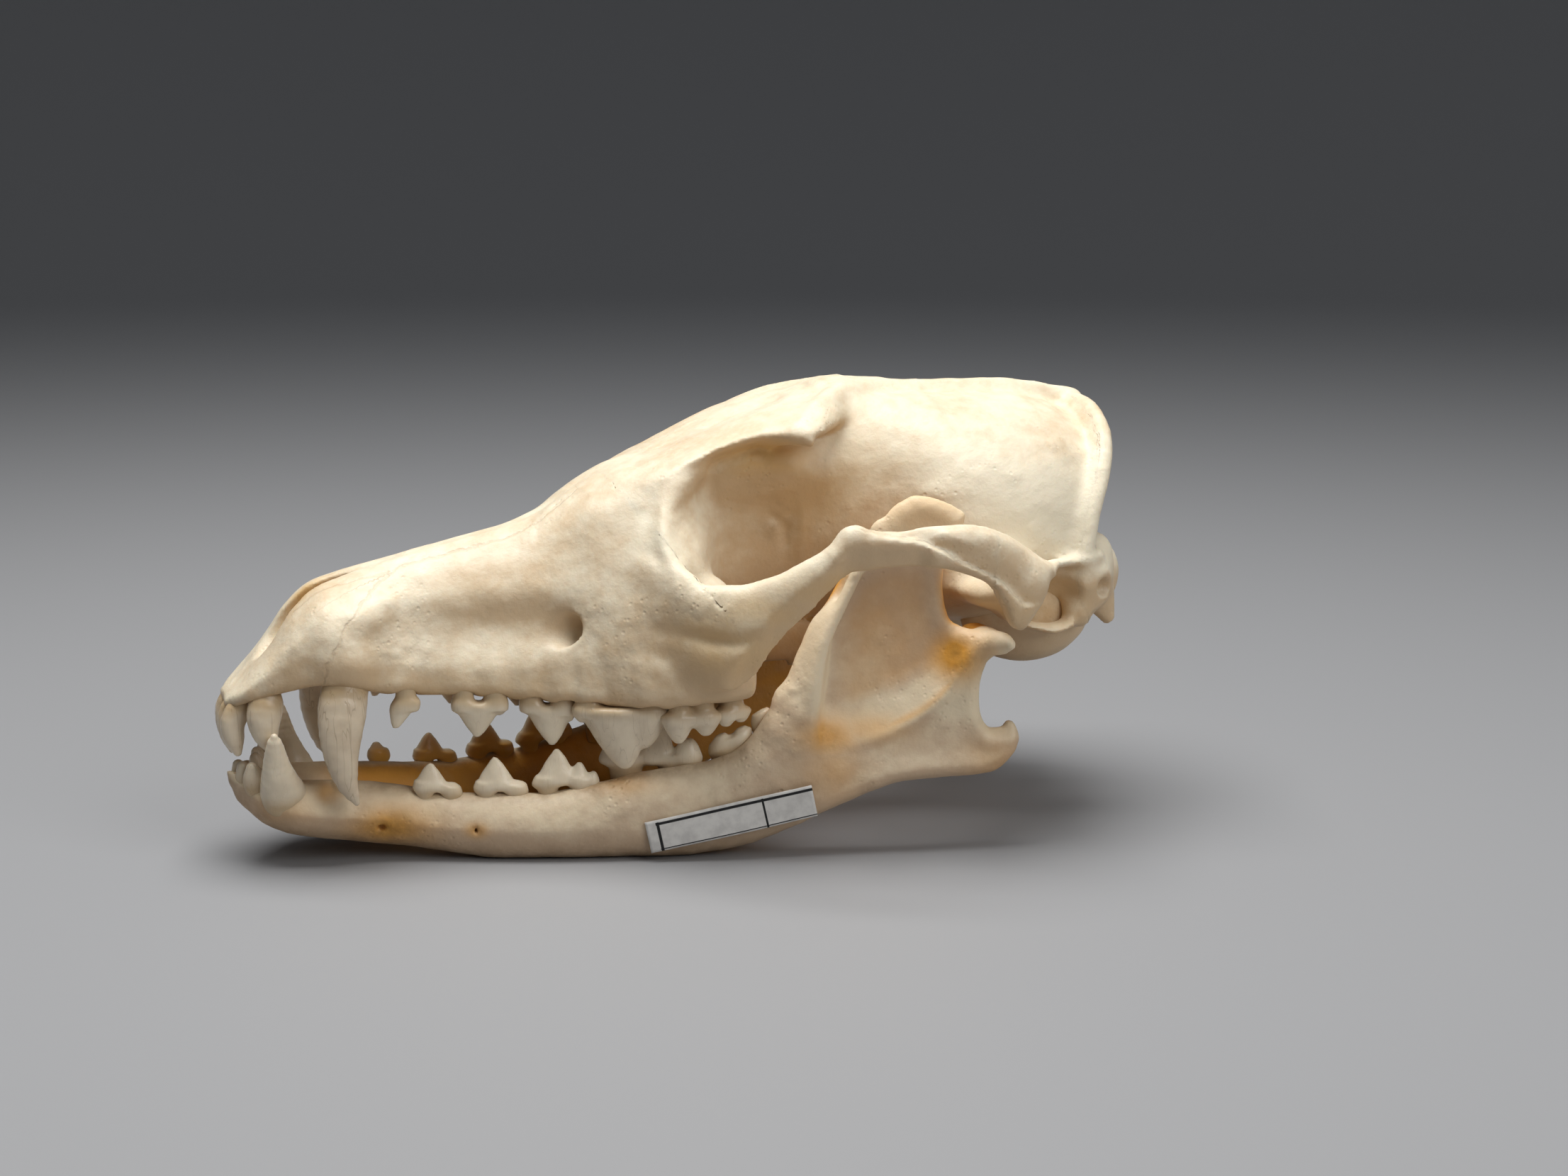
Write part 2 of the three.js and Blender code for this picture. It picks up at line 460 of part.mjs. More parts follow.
const leftJaw = lowerJaw(-1, "first");
const rightJaw = lowerJaw(1, "none").translate([rightJawSlip, 0, 0]);
const labelTurn = new THREE.Matrix4().makeRotationZ(-Math.atan(jawSlope))
  .multiply(new THREE.Matrix4().makeRotationY(-Math.atan(label.rise)));
const labelSide = jawLine(label.x) + label.out + gap + label.thick / 2;
const labelStrip = fromGeometry(new THREE.BoxGeometry(label.length, label.thick, label.height)
  .applyMatrix4(labelTurn).translate(label.x, -labelSide, label.z));

const skull = new THREE.Group();
skull.add(
  piece("rostrum", skullBody.intersect(faceSeam.near), colour.rostrum),
  piece("braincase", skullBody.intersect(faceSeam.far).intersect(backSeam.near), colour.braincase),
  piece("occiput", skullBody.intersect(backSeam.far), colour.occiput),
  piece("cheekbone_left", cheeks[0], colour.cheekbone),
  piece("cheekbone_right", cheeks[1], colour.cheekbone),
  piece("bulla_left", drums[0], colour.drum),
  piece("bulla_right", drums[1], colour.drum),
  piece("mandible_left", leftJaw, colour.jaw),
  piece("mandible_right", rightJaw, colour.jaw),
  piece("label", labelStrip, colour.label),
);
const box = new THREE.Box3().setFromObject(skull);
skull.position.set(-(box.min.x + box.max.x) / 2, -(box.min.y + box.max.y) / 2, -box.min.z);

export default skull;
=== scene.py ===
import bpy
import numpy as np
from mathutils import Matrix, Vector


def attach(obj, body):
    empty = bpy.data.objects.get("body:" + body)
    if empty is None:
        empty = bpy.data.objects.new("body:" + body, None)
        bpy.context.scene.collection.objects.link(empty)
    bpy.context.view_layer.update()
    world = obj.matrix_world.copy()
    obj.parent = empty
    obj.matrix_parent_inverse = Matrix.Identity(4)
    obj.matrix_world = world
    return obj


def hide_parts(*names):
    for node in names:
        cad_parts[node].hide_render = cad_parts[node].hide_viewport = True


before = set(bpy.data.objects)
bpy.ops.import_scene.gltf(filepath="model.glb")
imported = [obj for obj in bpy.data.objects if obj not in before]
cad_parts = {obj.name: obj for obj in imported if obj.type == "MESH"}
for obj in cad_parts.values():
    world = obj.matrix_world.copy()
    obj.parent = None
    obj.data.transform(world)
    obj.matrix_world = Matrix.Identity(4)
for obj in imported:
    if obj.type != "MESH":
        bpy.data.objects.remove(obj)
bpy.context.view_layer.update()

# The drawing is in millimetres: x runs back from the front of the upper jaw, s out from the midline, z up.
place = {"middle": 76.05, "table": 1.0, "rightJawSlip": 3.0}
camera = {"at": (-27.34, -373.43, 116.02), "target": (94.0, 0.0, 39.7), "focalPixels": 3323,
          "imageWidth": 2212, "sensor": 36}
grid = {"bone": 0.52, "jaw": 0.45, "tooth": 0.28}


# Drawing points to the row frame in metres: moved to the origin and divided by 1000.
def toRow(points):
    shift = np.array([place["middle"], 0.0, place["table"]])
    return (np.asarray(points, float) - shift) / 1000


# Smooth curve through (station, value) pairs, a cubic per span whose slopes never overshoot.
def curve(*knots):
    at, value = np.array(knots, float).T
    rise = np.diff(value) / np.diff(at)
    same = rise[:-1] * rise[1:] > 0
    slope = np.concatenate([rise[:1], np.zeros(len(at) - 2), rise[-1:]])
    slope[1:-1][same] = (2 * rise[:-1] * rise[1:])[same] / (rise[:-1] + rise[1:])[same]

    def valueAt(s):
        s = np.clip(s, at[0], at[-1])
        i = np.clip(np.searchsorted(at, s, side="right") - 1, 0, len(at) - 2)
        h = at[i + 1] - at[i]
        t = (s - at[i]) / h
        u = 1 - t
        return (value[i] * u * u * (1 + 2 * t) + value[i + 1] * t * t * (3 - 2 * t)
                + h * t * u * (slope[i] * u - slope[i + 1] * t))
    return valueAt


# A size along x or along a path: a function as it is, one value all the way, or pairs as a smooth curve.
def profile(size):
    if callable(size):
        return size
    return curve(*size) if np.ndim(size) else lambda x: size + 0 * x


# Smooth step from 0 at low to 1 at high.
def ramp(v, low, high):
    t = np.clip((v - low) / (high - low), 0, 1)
    return t * t * (3 - 2 * t)


# Smooth union: the smaller field, rounded over a width of soft.
def blend(a, b, soft):
    h = np.clip(0.5 + 0.5 * (b - a) / soft, 0, 1)
    return b + (a - b) * h - soft * h * (1 - h)


# Smooth overlap: the larger field, rounded over a width of soft.
def overlap(a, b, soft):
    return -blend(-a, -b, soft)


# Bone of upright sections along x: rounded boxes with a half width, a widest level, a top and a bottom.
# The field is the distance from the section's middle, less that to its edge on the same ray.
def hull(low, high, half, level, top, bottom, up, down, middle=0):
    half, level, top, bottom, up, down, middle = map(profile, (half, level, top, bottom, up, down, middle))

    def field(x, s, z):
        out = np.abs(s - middle(x))
        rise = z - level(x)
        reach = np.where(rise >= 0, top(x) - level(x), level(x) - bottom(x))
        n = np.where(rise >= 0, up(x), down(x))
        r = np.maximum(((out / half(x)) ** n + (np.abs(rise) / reach) ** n) ** (1 / n), 1e-3)
        return np.maximum((1 - 1 / r) * np.sqrt(out ** 2 + rise ** 2), np.maximum(low - x, x - high))
    return field


# Ellipsoid: scaled distance from its centre less one, times its smallest radius.
def ball(centre, radii):
    def field(x, s, z):
        a, b, c = ((v - m) / r for v, m, r in zip((x, s, z), centre, radii))
        return (np.sqrt(a * a + b * b + c * c) - 1) * min(radii)
    return field


# Points along a smooth path, with their share of the way.
def along(path, steps):
    p = np.array(path, float)
    run = np.concatenate([[0], np.cumsum(np.linalg.norm(np.diff(p, axis=0), axis=1))])
    t = np.linspace(0, 1, steps + 1)
    return t, np.stack([curve(*zip(run / run[-1], p[:, k]))(t) for k in range(p.shape[1])], 1)


# Tapering rod: scaled distance to the nearest span of the path, wide across s and deep the other way.
def rod(path, wide, deep, steps=14):
    t, line = along(path, steps)
    w, d = profile(wide)(t), profile(deep)(t)

    def field(x, s, z):
        best = None
        for i in range(steps):
            a = line[i]
            span = line[i + 1] - a
            h = ((x - a[0]) * span[0] + (s - a[1]) * span[1] + (z - a[2]) * span[2]) / (span @ span)
            h = np.clip(h, 0, 1)
            across = s - a[1] - h * span[1]
            rest = (x - a[0] - h * span[0]) ** 2 + (z - a[2] - h * span[2]) ** 2
            wideHere = w[i] + h * (w[i + 1] - w[i])
            deepHere = d[i] + h * (d[i + 1] - d[i])
            r = np.sqrt((across / wideHere) ** 2 + rest / deepHere ** 2)
            here = (r - 1) * np.minimum(wideHere, deepHere)
            best = here if best is None else np.minimum(best, here)
        return best
    return field


# A field sampled on a box of points.
class Block:
    def __init__(self, low, high, step):
        count = np.ceil((np.array(high, float) - low) / step).astype(int) + 1
        self.step = step
        self.axes = [low[k] + step * np.arange(count[k]) for k in range(3)]
        self.value = np.full(count, 8.0)

    def part(self, low, high):
        cut = tuple(slice(*np.searchsorted(a, (l, h))) for a, l, h in zip(self.axes, low, high))
        return cut, np.ix_(*(a[c] for a, c in zip(self.axes, cut)))

    # A form is the box that it may change, its field, which is negative inside, and its softness.
    def add(self, low, high, field, soft):
        cut, at = self.part(low, high)
        self.value[cut] = blend(self.value[cut], field(*at), soft)

    def carve(self, low, high, field, soft):
        cut, at = self.part(low, high)
        self.value[cut] = overlap(self.value[cut], -field(*at), soft)

    # Blurs the field inside a box with its neighbours' mean, fading out towards the box's sides.
    def soften(self, low, high, rounds, fade=4.0):
        cut, at = self.part(low, high)
        value = self.value[cut]
        for _ in range(rounds):
            for k in range(3):
                rim = [(1, 1) if j == k else (0, 0) for j in range(3)]
                wide = np.moveaxis(np.pad(value, rim, mode="edge"), k, 0)
                value = np.moveaxis((wide[:-2] + 2 * wide[1:-1] + wide[2:]) / 4, 0, k)
        share = 1.0
        for a, l, h in zip(at, low, high):
            share = share * ramp(np.minimum(a - l, h - a), 0, fade)
        self.value[cut] += share * (value - self.value[cut])

    # Both sides of a block that starts on the midline.
    def mirrored(self):
        whole = Block((0, 0, 0), (1, 1, 1), 1)
        whole.step = self.step
        whole.axes = [self.axes[0], np.concatenate([-self.axes[1][:0:-1], self.axes[1]]), self.axes[2]]
        whole.value = np.concatenate([self.value[:, :0:-1], self.value], axis=1)
        return whole


# Seeded waves over points near the surface: the mean of sines in random directions.
def unevenness(block, size, amount, seed):
    random = np.random.default_rng(seed)
    near = np.nonzero(np.abs(block.value) < 2)
    at = np.stack([block.axes[k][near[k]] for k in range(3)])
    way = random.normal(size=(12, 3))
    way *= (2 * np.pi / size * random.uniform(0.6, 1.5, 12) / np.linalg.norm(way, axis=1))[:, None]
    block.value[near] += amount * np.sin(way @ at + random.uniform(0, 6.3, 12)[:, None]).mean(0)


# Value and slope of a field at points between its samples, by the eight corners round each point.
def sampled(field, axes, step, points):
    within = [(points[:, k] - axes[k][0]) / step for k in range(3)]
    cell = [np.clip(p.astype(int), 0, n - 2) for p, n in zip(within, field.shape)]
    share = [p - c for p, c in zip(within, cell)]
    value = np.zeros(len(points))
    slope = np.zeros((len(points), 3))
    for corner in np.ndindex(2, 2, 2):
        here = field[tuple(c + d for c, d in zip(cell, corner))]
        weight = [t if d else 1 - t for t, d in zip(share, corner)]
        value += here * weight[0] * weight[1] * weight[2]
        for k in range(3):
            i, j = (k + 1) % 3, (k + 2) % 3
            slope[:, k] += here * (1 if corner[k] else -1) / step * weight[i] * weight[j]
    return value, slope


# Moves points onto the line where two fields are both nil: the shortest step that both slopes ask for.
def ontoBoth(first, second, axes, step, points):
    for _ in range(2):
        f, a = sampled(first, axes, step, points)
        g, b = sampled(second, axes, step, points)
        aa, ab, bb = (a * a).sum(1), (a * b).sum(1), (b * b).sum(1)
        crossing = np.maximum(aa * bb - ab * ab, 0.05 * aa * bb + 1e-9)
        move = ((f * bb - g * ab) / crossing)[:, None] * a + ((g * aa - f * ab) / crossing)[:, None] * b
        points = points - move * np.minimum(1, step / (np.linalg.norm(move, axis=1) + 1e-9))[:, None]
    return points


# Surface net: one vertex in each cell that the surface crosses, at the mean of the crossings on its edges,
# and one quad round each grid edge that it crosses.
def net(value, axes, step):
    inside = value < 0
    shape = np.array(value.shape) - 1
    corners = np.array(list(np.ndindex(2, 2, 2)))
    count = np.zeros(shape, np.int8)
    for c in corners:
        count += inside[tuple(slice(c[k], c[k] + shape[k]) for k in range(3))]
    crossed = (count > 0) & (count < 8)
    cells = np.argwhere(crossed)
    number = np.full(shape, -1)
    number[crossed] = np.arange(len(cells))
    total = np.zeros((len(cells), 3))
    hits = np.zeros((len(cells), 1))
    for a in corners:
        for k in np.nonzero(a == 0)[0]:
            b = a + np.eye(3, dtype=int)[k]
            va = value[tuple((cells + a).T)]
            vb = value[tuple((cells + b).T)]
            cross = (va < 0) != (vb < 0)
            t = va / np.where(cross, va - vb, 1)
            total += np.where(cross[:, None], a + t[:, None] * (b - a), 0)
            hits += cross[:, None]
    points = np.array([axis[0] for axis in axes]) + step * (cells + total / hits)
    quads = []
    for k in range(3):
        u, v = (k + 1) % 3, (k + 2) % 3
        near = [slice(1, -1)] * 3
        far = [slice(1, -1)] * 3
        near[k], far[k] = slice(0, -1), slice(1, None)
        starts, ends = inside[tuple(near)], inside[tuple(far)]
        edges = np.argwhere(starts != ends)
        corner = []
        for du, dv in ((0, 0), (1, 0), (1, 1), (0, 1)):
            at = edges.copy()
            at[:, u] += du
            at[:, v] += dv
            corner.append(number[tuple(at.T)])
        ring = np.stack(corner, 1)
        outward = starts[tuple(edges.T)]
        quads.append(np.where(outward[:, None], ring, ring[:, ::-1]))
    return points, np.concatenate(quads)


# Evens out a net: each loose vertex moves towards its neighbours' mean and a little back, so nothing shrinks.
def relax(points, quads, rounds, loose):
    ends = np.concatenate([quads.ravel(), np.roll(quads, -1, 1).ravel()])
    others = np.concatenate([np.roll(quads, -1, 1).ravel(), quads.ravel()])
    count = np.bincount(ends, minlength=len(points))
    for weight in (0.5, -0.52) * rounds:
        mean = np.stack([np.bincount(ends, points[others, k], len(points)) / count for k in range(3)], 1)
        points = points + weight * loose[:, None] * (mean - points)
    return points


# Normals at vertices: the sum of the face normals round each, in which the hidden faces hardly count.
def vertexNormals(points, quads, hidden):
    face = np.cross(points[quads[:, 2]] - points[quads[:, 0]], points[quads[:, 3]] - points[quads[:, 1]])
    face = np.repeat(face * np.where(hidden, 1e-4, 1.0)[:, None], 4, axis=0)
    total = np.stack([np.bincount(quads.ravel(), face[:, k], len(points)) for k in range(3)], 1)
    return total / np.maximum(np.linalg.norm(total, axis=1), 1e-12)[:, None]


# Leaves out scraps: joined vertices share the lowest number among them, and a part with few faces is dropped.
def withoutScraps(points, quads, normals, share=0.03):
    owner = np.arange(len(points))
    while True:
        lower = owner.copy()
        np.minimum.at(lower, quads.ravel(), np.repeat(owner[quads].min(1), 4))
        lower = lower[lower]
        if (lower == owner).all():
            break
        owner = lower
    faces = np.bincount(owner[quads[:, 0]], minlength=len(points))
    kept = faces[owner] > share * len(quads)
    number = np.cumsum(kept) - 1
    return points[kept], number[quads[kept[quads[:, 0]]]], normals[kept]


# Part of a block where its surface runs, with its axes, one empty sample wider on each side.
def cropped(block, value):
    near = value < 1
    cut = []
    for k in range(3):
        used = np.nonzero(near.any(axis=tuple(j for j in range(3) if j != k)))[0]
        cut.append(slice(max(used[0] - 2, 0), used[-1] + 3))
    axes = [np.pad(block.axes[k][cut[k]], 1, mode="reflect", reflect_type="odd") for k in range(3)]
    return tuple(cut), axes


# Net of a whole block.
def meshOf(block, rounds=2):
    cut, axes = cropped(block, block.value)
    points, quads = net(np.pad(block.value[cut], 1, constant_values=4.0), axes, block.step)
    return relax(points, quads, rounds, np.ones(len(points))), quads


# Net of what a second field leaves of a block, with a crisp edge where the two meet, and normals that run on
# across it.
def cutMeshOf(block, cutter, rounds=2):
    left = np.maximum(block.value, cutter)
    cut, axes = cropped(block, left)
    fields = [np.pad(v[cut], 1, mode="edge") for v in (block.value, cutter)]
    points, quads = net(np.pad(left[cut], 1, constant_values=4.0), axes, block.step)
    near = [np.abs(sampled(v, axes, block.step, points)[0]) < 0.7 * block.step for v in fields]
    edge = near[0] & near[1]
    points[edge] = ontoBoth(*fields, axes, block.step, points[edge])
    points = relax(points, quads, rounds, np.where(edge, 0.0, 1.0))
    outer, inner = (np.abs(sampled(v, axes, block.step, points[quads].mean(1))[0]) for v in fields)
    return withoutScraps(points, quads, vertexNormals(points, quads, inner < outer))


# Turns s outwards into y to one side, reversing the faces of the left.
def toSide(points, quads, side, slip):
    moved = points * np.array([1, side, 1]) + np.array([slip, 0, 0])
    return moved, quads if side > 0 else quads[:, ::-1]


# Soft spots: the largest of some ellipsoids that fade outwards, each with its own amount.
def spots(points, centres):
    x, s, z = points[:, 0], np.abs(points[:, 1]), points[:, 2]
    best = np.zeros(len(points))
    for (cx, cs, cz), (rx, rs, rz), amount in centres:
        q = ((x - cx) / rx) ** 2 + ((s - cs) / rs) ** 2 + ((z - cz) / rz) ** 2
        best = np.maximum(best, amount * np.exp(-q))
    return best


# Object from drawing points and quads, with a number for each vertex under each mark's name.
def piece(name, points, quads, material, slotName, nodes, marks):
    mesh = bpy.data.meshes.new(name)
    mesh.vertices.add(len(points))
    mesh.vertices.foreach_set("co", toRow(points).ravel())
    mesh.loops.add(quads.size)
    mesh.loops.foreach_set("vertex_index", quads.ravel().astype(np.int32))
    mesh.polygons.add(len(quads))
    mesh.polygons.foreach_set("loop_start", np.arange(0, quads.size, 4, dtype=np.int32))
    mesh.update(calc_edges=True)
    mesh.shade_smooth()
    for mark, value in marks.items():
        layer = mesh.attributes.new(mark, "FLOAT", "POINT")
        layer.data.foreach_set("value", np.asarray(value, np.float32))
    made = bpy.data.objects.new(name, mesh)
    bpy.context.scene.collection.objects.link(made)
    mesh.materials.append(material)
    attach(made, "root")
    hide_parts(*nodes)
    print("piece", name, len(points), "vertices", 2 * len(quads), "triangles")
    return made


# Node group with named inputs and outputs; returns the group and its two end nodes.
def nodeGroup(name, inputs, outputs):
    group = bpy.data.node_groups.new(name, "ShaderNodeTree")
    for title, kind, value in inputs:
        socket = group.interface.new_socket(title, in_out="INPUT", socket_type="NodeSocket" + kind)
        socket.default_value = value
    for title, kind in outputs:
        group.interface.new_socket(title, in_out="OUTPUT", socket_type="NodeSocket" + kind)
    return group, group.nodes.new("NodeGroupInput"), group.nodes.new("NodeGroupOutput")


# Short ways to add a node to a tree: value may be a number, a colour or another node's socket.
def put(tree, socket, value):
    if isinstance(value, bpy.types.NodeSocket):
        tree.links.new(value, socket)
    else:
        socket.default_value = value


def maths(tree, operation, *values, clamp=False):
    node = tree.nodes.new("ShaderNodeMath")
    node.operation = operation
    node.use_clamp = clamp
    for socket, value in zip(node.inputs, values):
        put(tree, socket, value)
    return node.outputs[0]


def mixed(tree, share, first, second):
    node = tree.nodes.new("ShaderNodeMix")
    node.data_type = "RGBA"
    put(tree, node.inputs[0], share)
    put(tree, node.inputs[6], first)
    put(tree, node.inputs[7], second)
    return node.outputs[2]


def spread(tree, value, low, high, bottom=0.0, top=1.0):
    node = tree.nodes.new("ShaderNodeMapRange")
    node.interpolation_type = "SMOOTHSTEP"
    for socket, v in zip(node.inputs, (value, low, high, bottom, top)):
        put(tree, socket, v)
    return node.outputs[0]


def noise(tree, coordinates, scale, detail=3.0, rough=0.55):
    node = tree.nodes.new("ShaderNodeTexNoise")
    put(tree, node.inputs["Vector"], coordinates)
    put(tree, node.inputs["Scale"], scale)
    node.inputs["Detail"].default_value = detail
    node.inputs["Roughness"].default_value = rough
    return node.outputs[0]


def objectPlace(tree, stretch=(1, 1, 1)):
    coordinates = tree.nodes.new("ShaderNodeTexCoord")
    mapping = tree.nodes.new("ShaderNodeMapping")
    mapping.inputs["Scale"].default_value = stretch
    tree.links.new(coordinates.outputs["Object"], mapping.inputs["Vector"])
    return mapping.outputs[0]


def markValue(tree, name):
    node = tree.nodes.new("ShaderNodeAttribute")
    node.attribute_name = name
    return node.outputs["Fac"]


def bumped(tree, height, strength, distance):
    node = tree.nodes.new("ShaderNodeBump")
    node.inputs["Strength"].default_value = strength
    node.inputs["Distance"].default_value = distance
    tree.links.new(height, node.inputs["Height"])
    return node.outputs["Normal"]


# Distance to a seam that wanders from side to side by a noise.
def wanderingSeam(tree, at, distance):
    wander = maths(tree, "SUBTRACT", noise(tree, at, bonePattern["wander"], 3), 0.5)
    wander = maths(tree, "MULTIPLY", wander, 1.8)
    return maths(tree, "ABSOLUTE", maths(tree, "ADD", distance, wander))


# Noise scales per metre of the bone's clouds, stains, seams and grain
bonePattern = {"broad": 55, "fine": 420, "amber": 160, "stain": 300, "wander": 420, "grain": 900, "pits": 800,
               "pitGroups": 90, "lumps": 230}


# Colour of old bone: broad and fine clouds from light to tan, with painted shade as more tan where it faces
# down and less where it is pale, then amber, then stains broken up by clouds, then a dark hairline where the
# seam distance is small.
def boneTint():
    white = (1, 1, 1, 1)
    group, start, end = nodeGroup("boneTint", [
        ("Light", "Color", white), ("Tan", "Color", white), ("Amber", "Color", white),
        ("Stain", "Color", white),
        ("Amber amount", "Float", 0.0), ("Stain amount", "Float", 0.0), ("Seam distance", "Float", 9.0),
        ("Seam width", "Float", 0.2), ("Pale amount", "Float", 0.0)], [("Colour", "Color")])
    given = start.outputs
    at = objectPlace(group)
    broad = noise(group, at, bonePattern["broad"], 3)
    fine = noise(group, at, bonePattern["fine"], 4, 0.62)
    cloud = maths(group, "ADD", maths(group, "MULTIPLY", broad, 0.65), maths(group, "MULTIPLY", fine, 0.35))
    facing = group.nodes.new("ShaderNodeSeparateXYZ")
    group.links.new(group.nodes.new("ShaderNodeNewGeometry").outputs["Normal"], facing.inputs[0])
    # Painted shade: more tan where the surface faces down, away from the light above.
    under = spread(group, facing.outputs[2], 0.55, -0.6, 0.0, 0.34)
    pale = maths(group, "MULTIPLY", given["Pale amount"], 0.42)
    tan = maths(group, "SUBTRACT", maths(group, "ADD", cloud, under), pale)
    colour = mixed(group, spread(group, tan, 0.36, 0.78), given["Light"], given["Tan"])
    # Amber from the marks: painted glow through thin bone and painted shade in hollows, and some real stains.
    uneven = maths(group, "MULTIPLY", noise(group, at, bonePattern["amber"], 4), 0.9)
    share = maths(group, "MULTIPLY", given["Amber amount"], maths(group, "ADD", 0.55, uneven), clamp=True)
    colour = mixed(group, share, colour, given["Amber"])
    patchy = spread(group, noise(group, at, bonePattern["stain"], 5, 0.65), 0.34, 0.62)
    patchy = maths(group, "ADD", 0.35, maths(group, "MULTIPLY", patchy, 0.75))
    share = maths(group, "MULTIPLY", given["Stain amount"], patchy, clamp=True)
    colour = mixed(group, share, colour, given["Stain"])
    distance = wanderingSeam(group, at, given["Seam distance"])
    line = spread(group, distance, 0.0, given["Seam width"], 0.15, 0.0)
    group.links.new(mixed(group, line, colour, given["Stain"]), end.inputs["Colour"])
    return group


# Surface of old bone as a normal: fine grain and lumps, less shallow pits where a cell noise dips and a
# groove along the seam.
def boneGrain():
    group, start, end = nodeGroup("boneGrain", [
        ("Grain", "Float", 0.4), ("Pits", "Float", 0.3), ("Seam distance", "Float", 9.0)],
        [("Normal", "Vector")])
    given = start.outputs
    at = objectPlace(group)
    grain = maths(group, "MULTIPLY", noise(group, at, bonePattern["grain"], 4, 0.6), given["Grain"])
    cells = group.nodes.new("ShaderNodeTexVoronoi")
    cells.inputs["Scale"].default_value = bonePattern["pits"]
    group.links.new(at, cells.inputs["Vector"])
    few = spread(group, noise(group, at, bonePattern["pitGroups"], 2), 0.48, 0.7)
    pits = spread(group, cells.outputs["Distance"], 0.05, 0.32, 1.0, 0.0)
    pits = maths(group, "MULTIPLY", maths(group, "MULTIPLY", pits, few), given["Pits"])
    groove = spread(group, wanderingSeam(group, at, given["Seam distance"]), 0.0, 0.35, 1.0, 0.0)
    groove = maths(group, "MULTIPLY", groove, 0.35)
    lumps = noise(group, at, bonePattern["lumps"], 3, 0.5)
    lumps = maths(group, "MULTIPLY", lumps, maths(group, "MULTIPLY", few, 2.4))
    height = maths(group, "SUBTRACT", maths(group, "ADD", grain, lumps), maths(group, "ADD", pits, groove))
    group.links.new(bumped(group, height, 0.6, 0.00035), end.inputs["Normal"])
    return group


# New material with its tree and its main shader.
def newMaterial(name, roughness, glow=0.0, depth=0.001):
    material = bpy.data.materials.new(name)
    material.use_nodes = True
    tree = material.node_tree
    shader = tree.nodes["Principled BSDF"]
    shader.inputs["Roughness"].default_value = roughness
    shader.inputs["Subsurface Weight"].default_value = glow
    shader.inputs["Subsurface Radius"].default_value = (1.0, 0.55, 0.28)
    shader.inputs["Subsurface Scale"].default_value = depth
    shader.inputs["Specular IOR Level"].default_value = 0.4
    return material, tree, shader


# Dry bone: the tint and grain groups fed by the marks on the piece.
def boneMaterial(name, look, shared):
    material, tree, shader = newMaterial(name, look["roughness"], look["glow"], look["depth"])
    tint = tree.nodes.new("ShaderNodeGroup")
    tint.node_tree = shared["tint"]
    for title in ("Light", "Tan", "Amber", "Stain"):
        tint.inputs[title].default_value = (*look[title.lower()], 1)
    tint.inputs["Seam width"].default_value = look["seamWidth"]
    grain = tree.nodes.new("ShaderNodeGroup")
    grain.node_tree = shared["grain"]
    grain.inputs["Grain"].default_value = look["grain"]
    grain.inputs["Pits"].default_value = look["pits"]
    for mark in ("amber", "stain", "pale"):
        tree.links.new(markValue(tree, mark), tint.inputs[mark.capitalize() + " amount"])
    seam = markValue(tree, "seam")
    tree.links.new(seam, tint.inputs["Seam distance"])
    tree.links.new(seam, grain.inputs["Seam distance"])
    tree.links.new(tint.outputs["Colour"], shader.inputs["Base Color"])
    tree.links.new(grain.outputs["Normal"], shader.inputs["Normal"])
    return material


# Tooth: root colour below the neck, then enamel with clouds and long fine cracks, more of both where it is
# dull, which is worn enamel and painted shade on the back cheek teeth, and painted warm reflected light as
# amber on the inner side.
def toothMaterial(look):
    material, tree, shader = newMaterial("enamel", look["roughness"], look["glow"], look["depth"])
    dullAndShade = markValue(tree, "dullAndShade")
    cloud = spread(tree, noise(tree, objectPlace(tree), look["cloudScale"], 4), 0.35, 0.7)
    dullGrey = maths(tree, "MULTIPLY", dullAndShade, 0.7)
    grey = maths(tree, "ADD", maths(tree, "MULTIPLY", cloud, 0.3), dullGrey, clamp=True)
    enamelColour = mixed(tree, grey, (*look["pale"], 1), (*look["grey"], 1))
    streak = noise(tree, objectPlace(tree, (1, 1, 0.025)), look["crackScale"], 2)
    crack = spread(tree, maths(tree, "ABSOLUTE", maths(tree, "SUBTRACT", streak, 0.5)), 0.0, 0.016, 0.4, 0.0)
    crack = maths(tree, "MULTIPLY", crack, maths(tree, "ADD", 0.2, dullAndShade))
    enamelColour = mixed(tree, crack, enamelColour, (*look["crack"], 1))
    crown = spread(tree, maths(tree, "ADD", markValue(tree, "crown"), cloud), -0.4, 2.6, 0.25, 1.0)
    colour = mixed(tree, crown, (*look["root"], 1), enamelColour)
    colour = mixed(tree, markValue(tree, "amber"), colour, (*look["amber"], 1))
    tree.links.new(colour, shader.inputs["Base Color"])
    ripple = noise(tree, objectPlace(tree, (1, 1, 0.2)), look["rippleScale"], 3)
    height = maths(tree, "SUBTRACT", ripple, crack)
    tree.links.new(bumped(tree, height, 0.35, 0.0002), shader.inputs["Normal"])
    return material


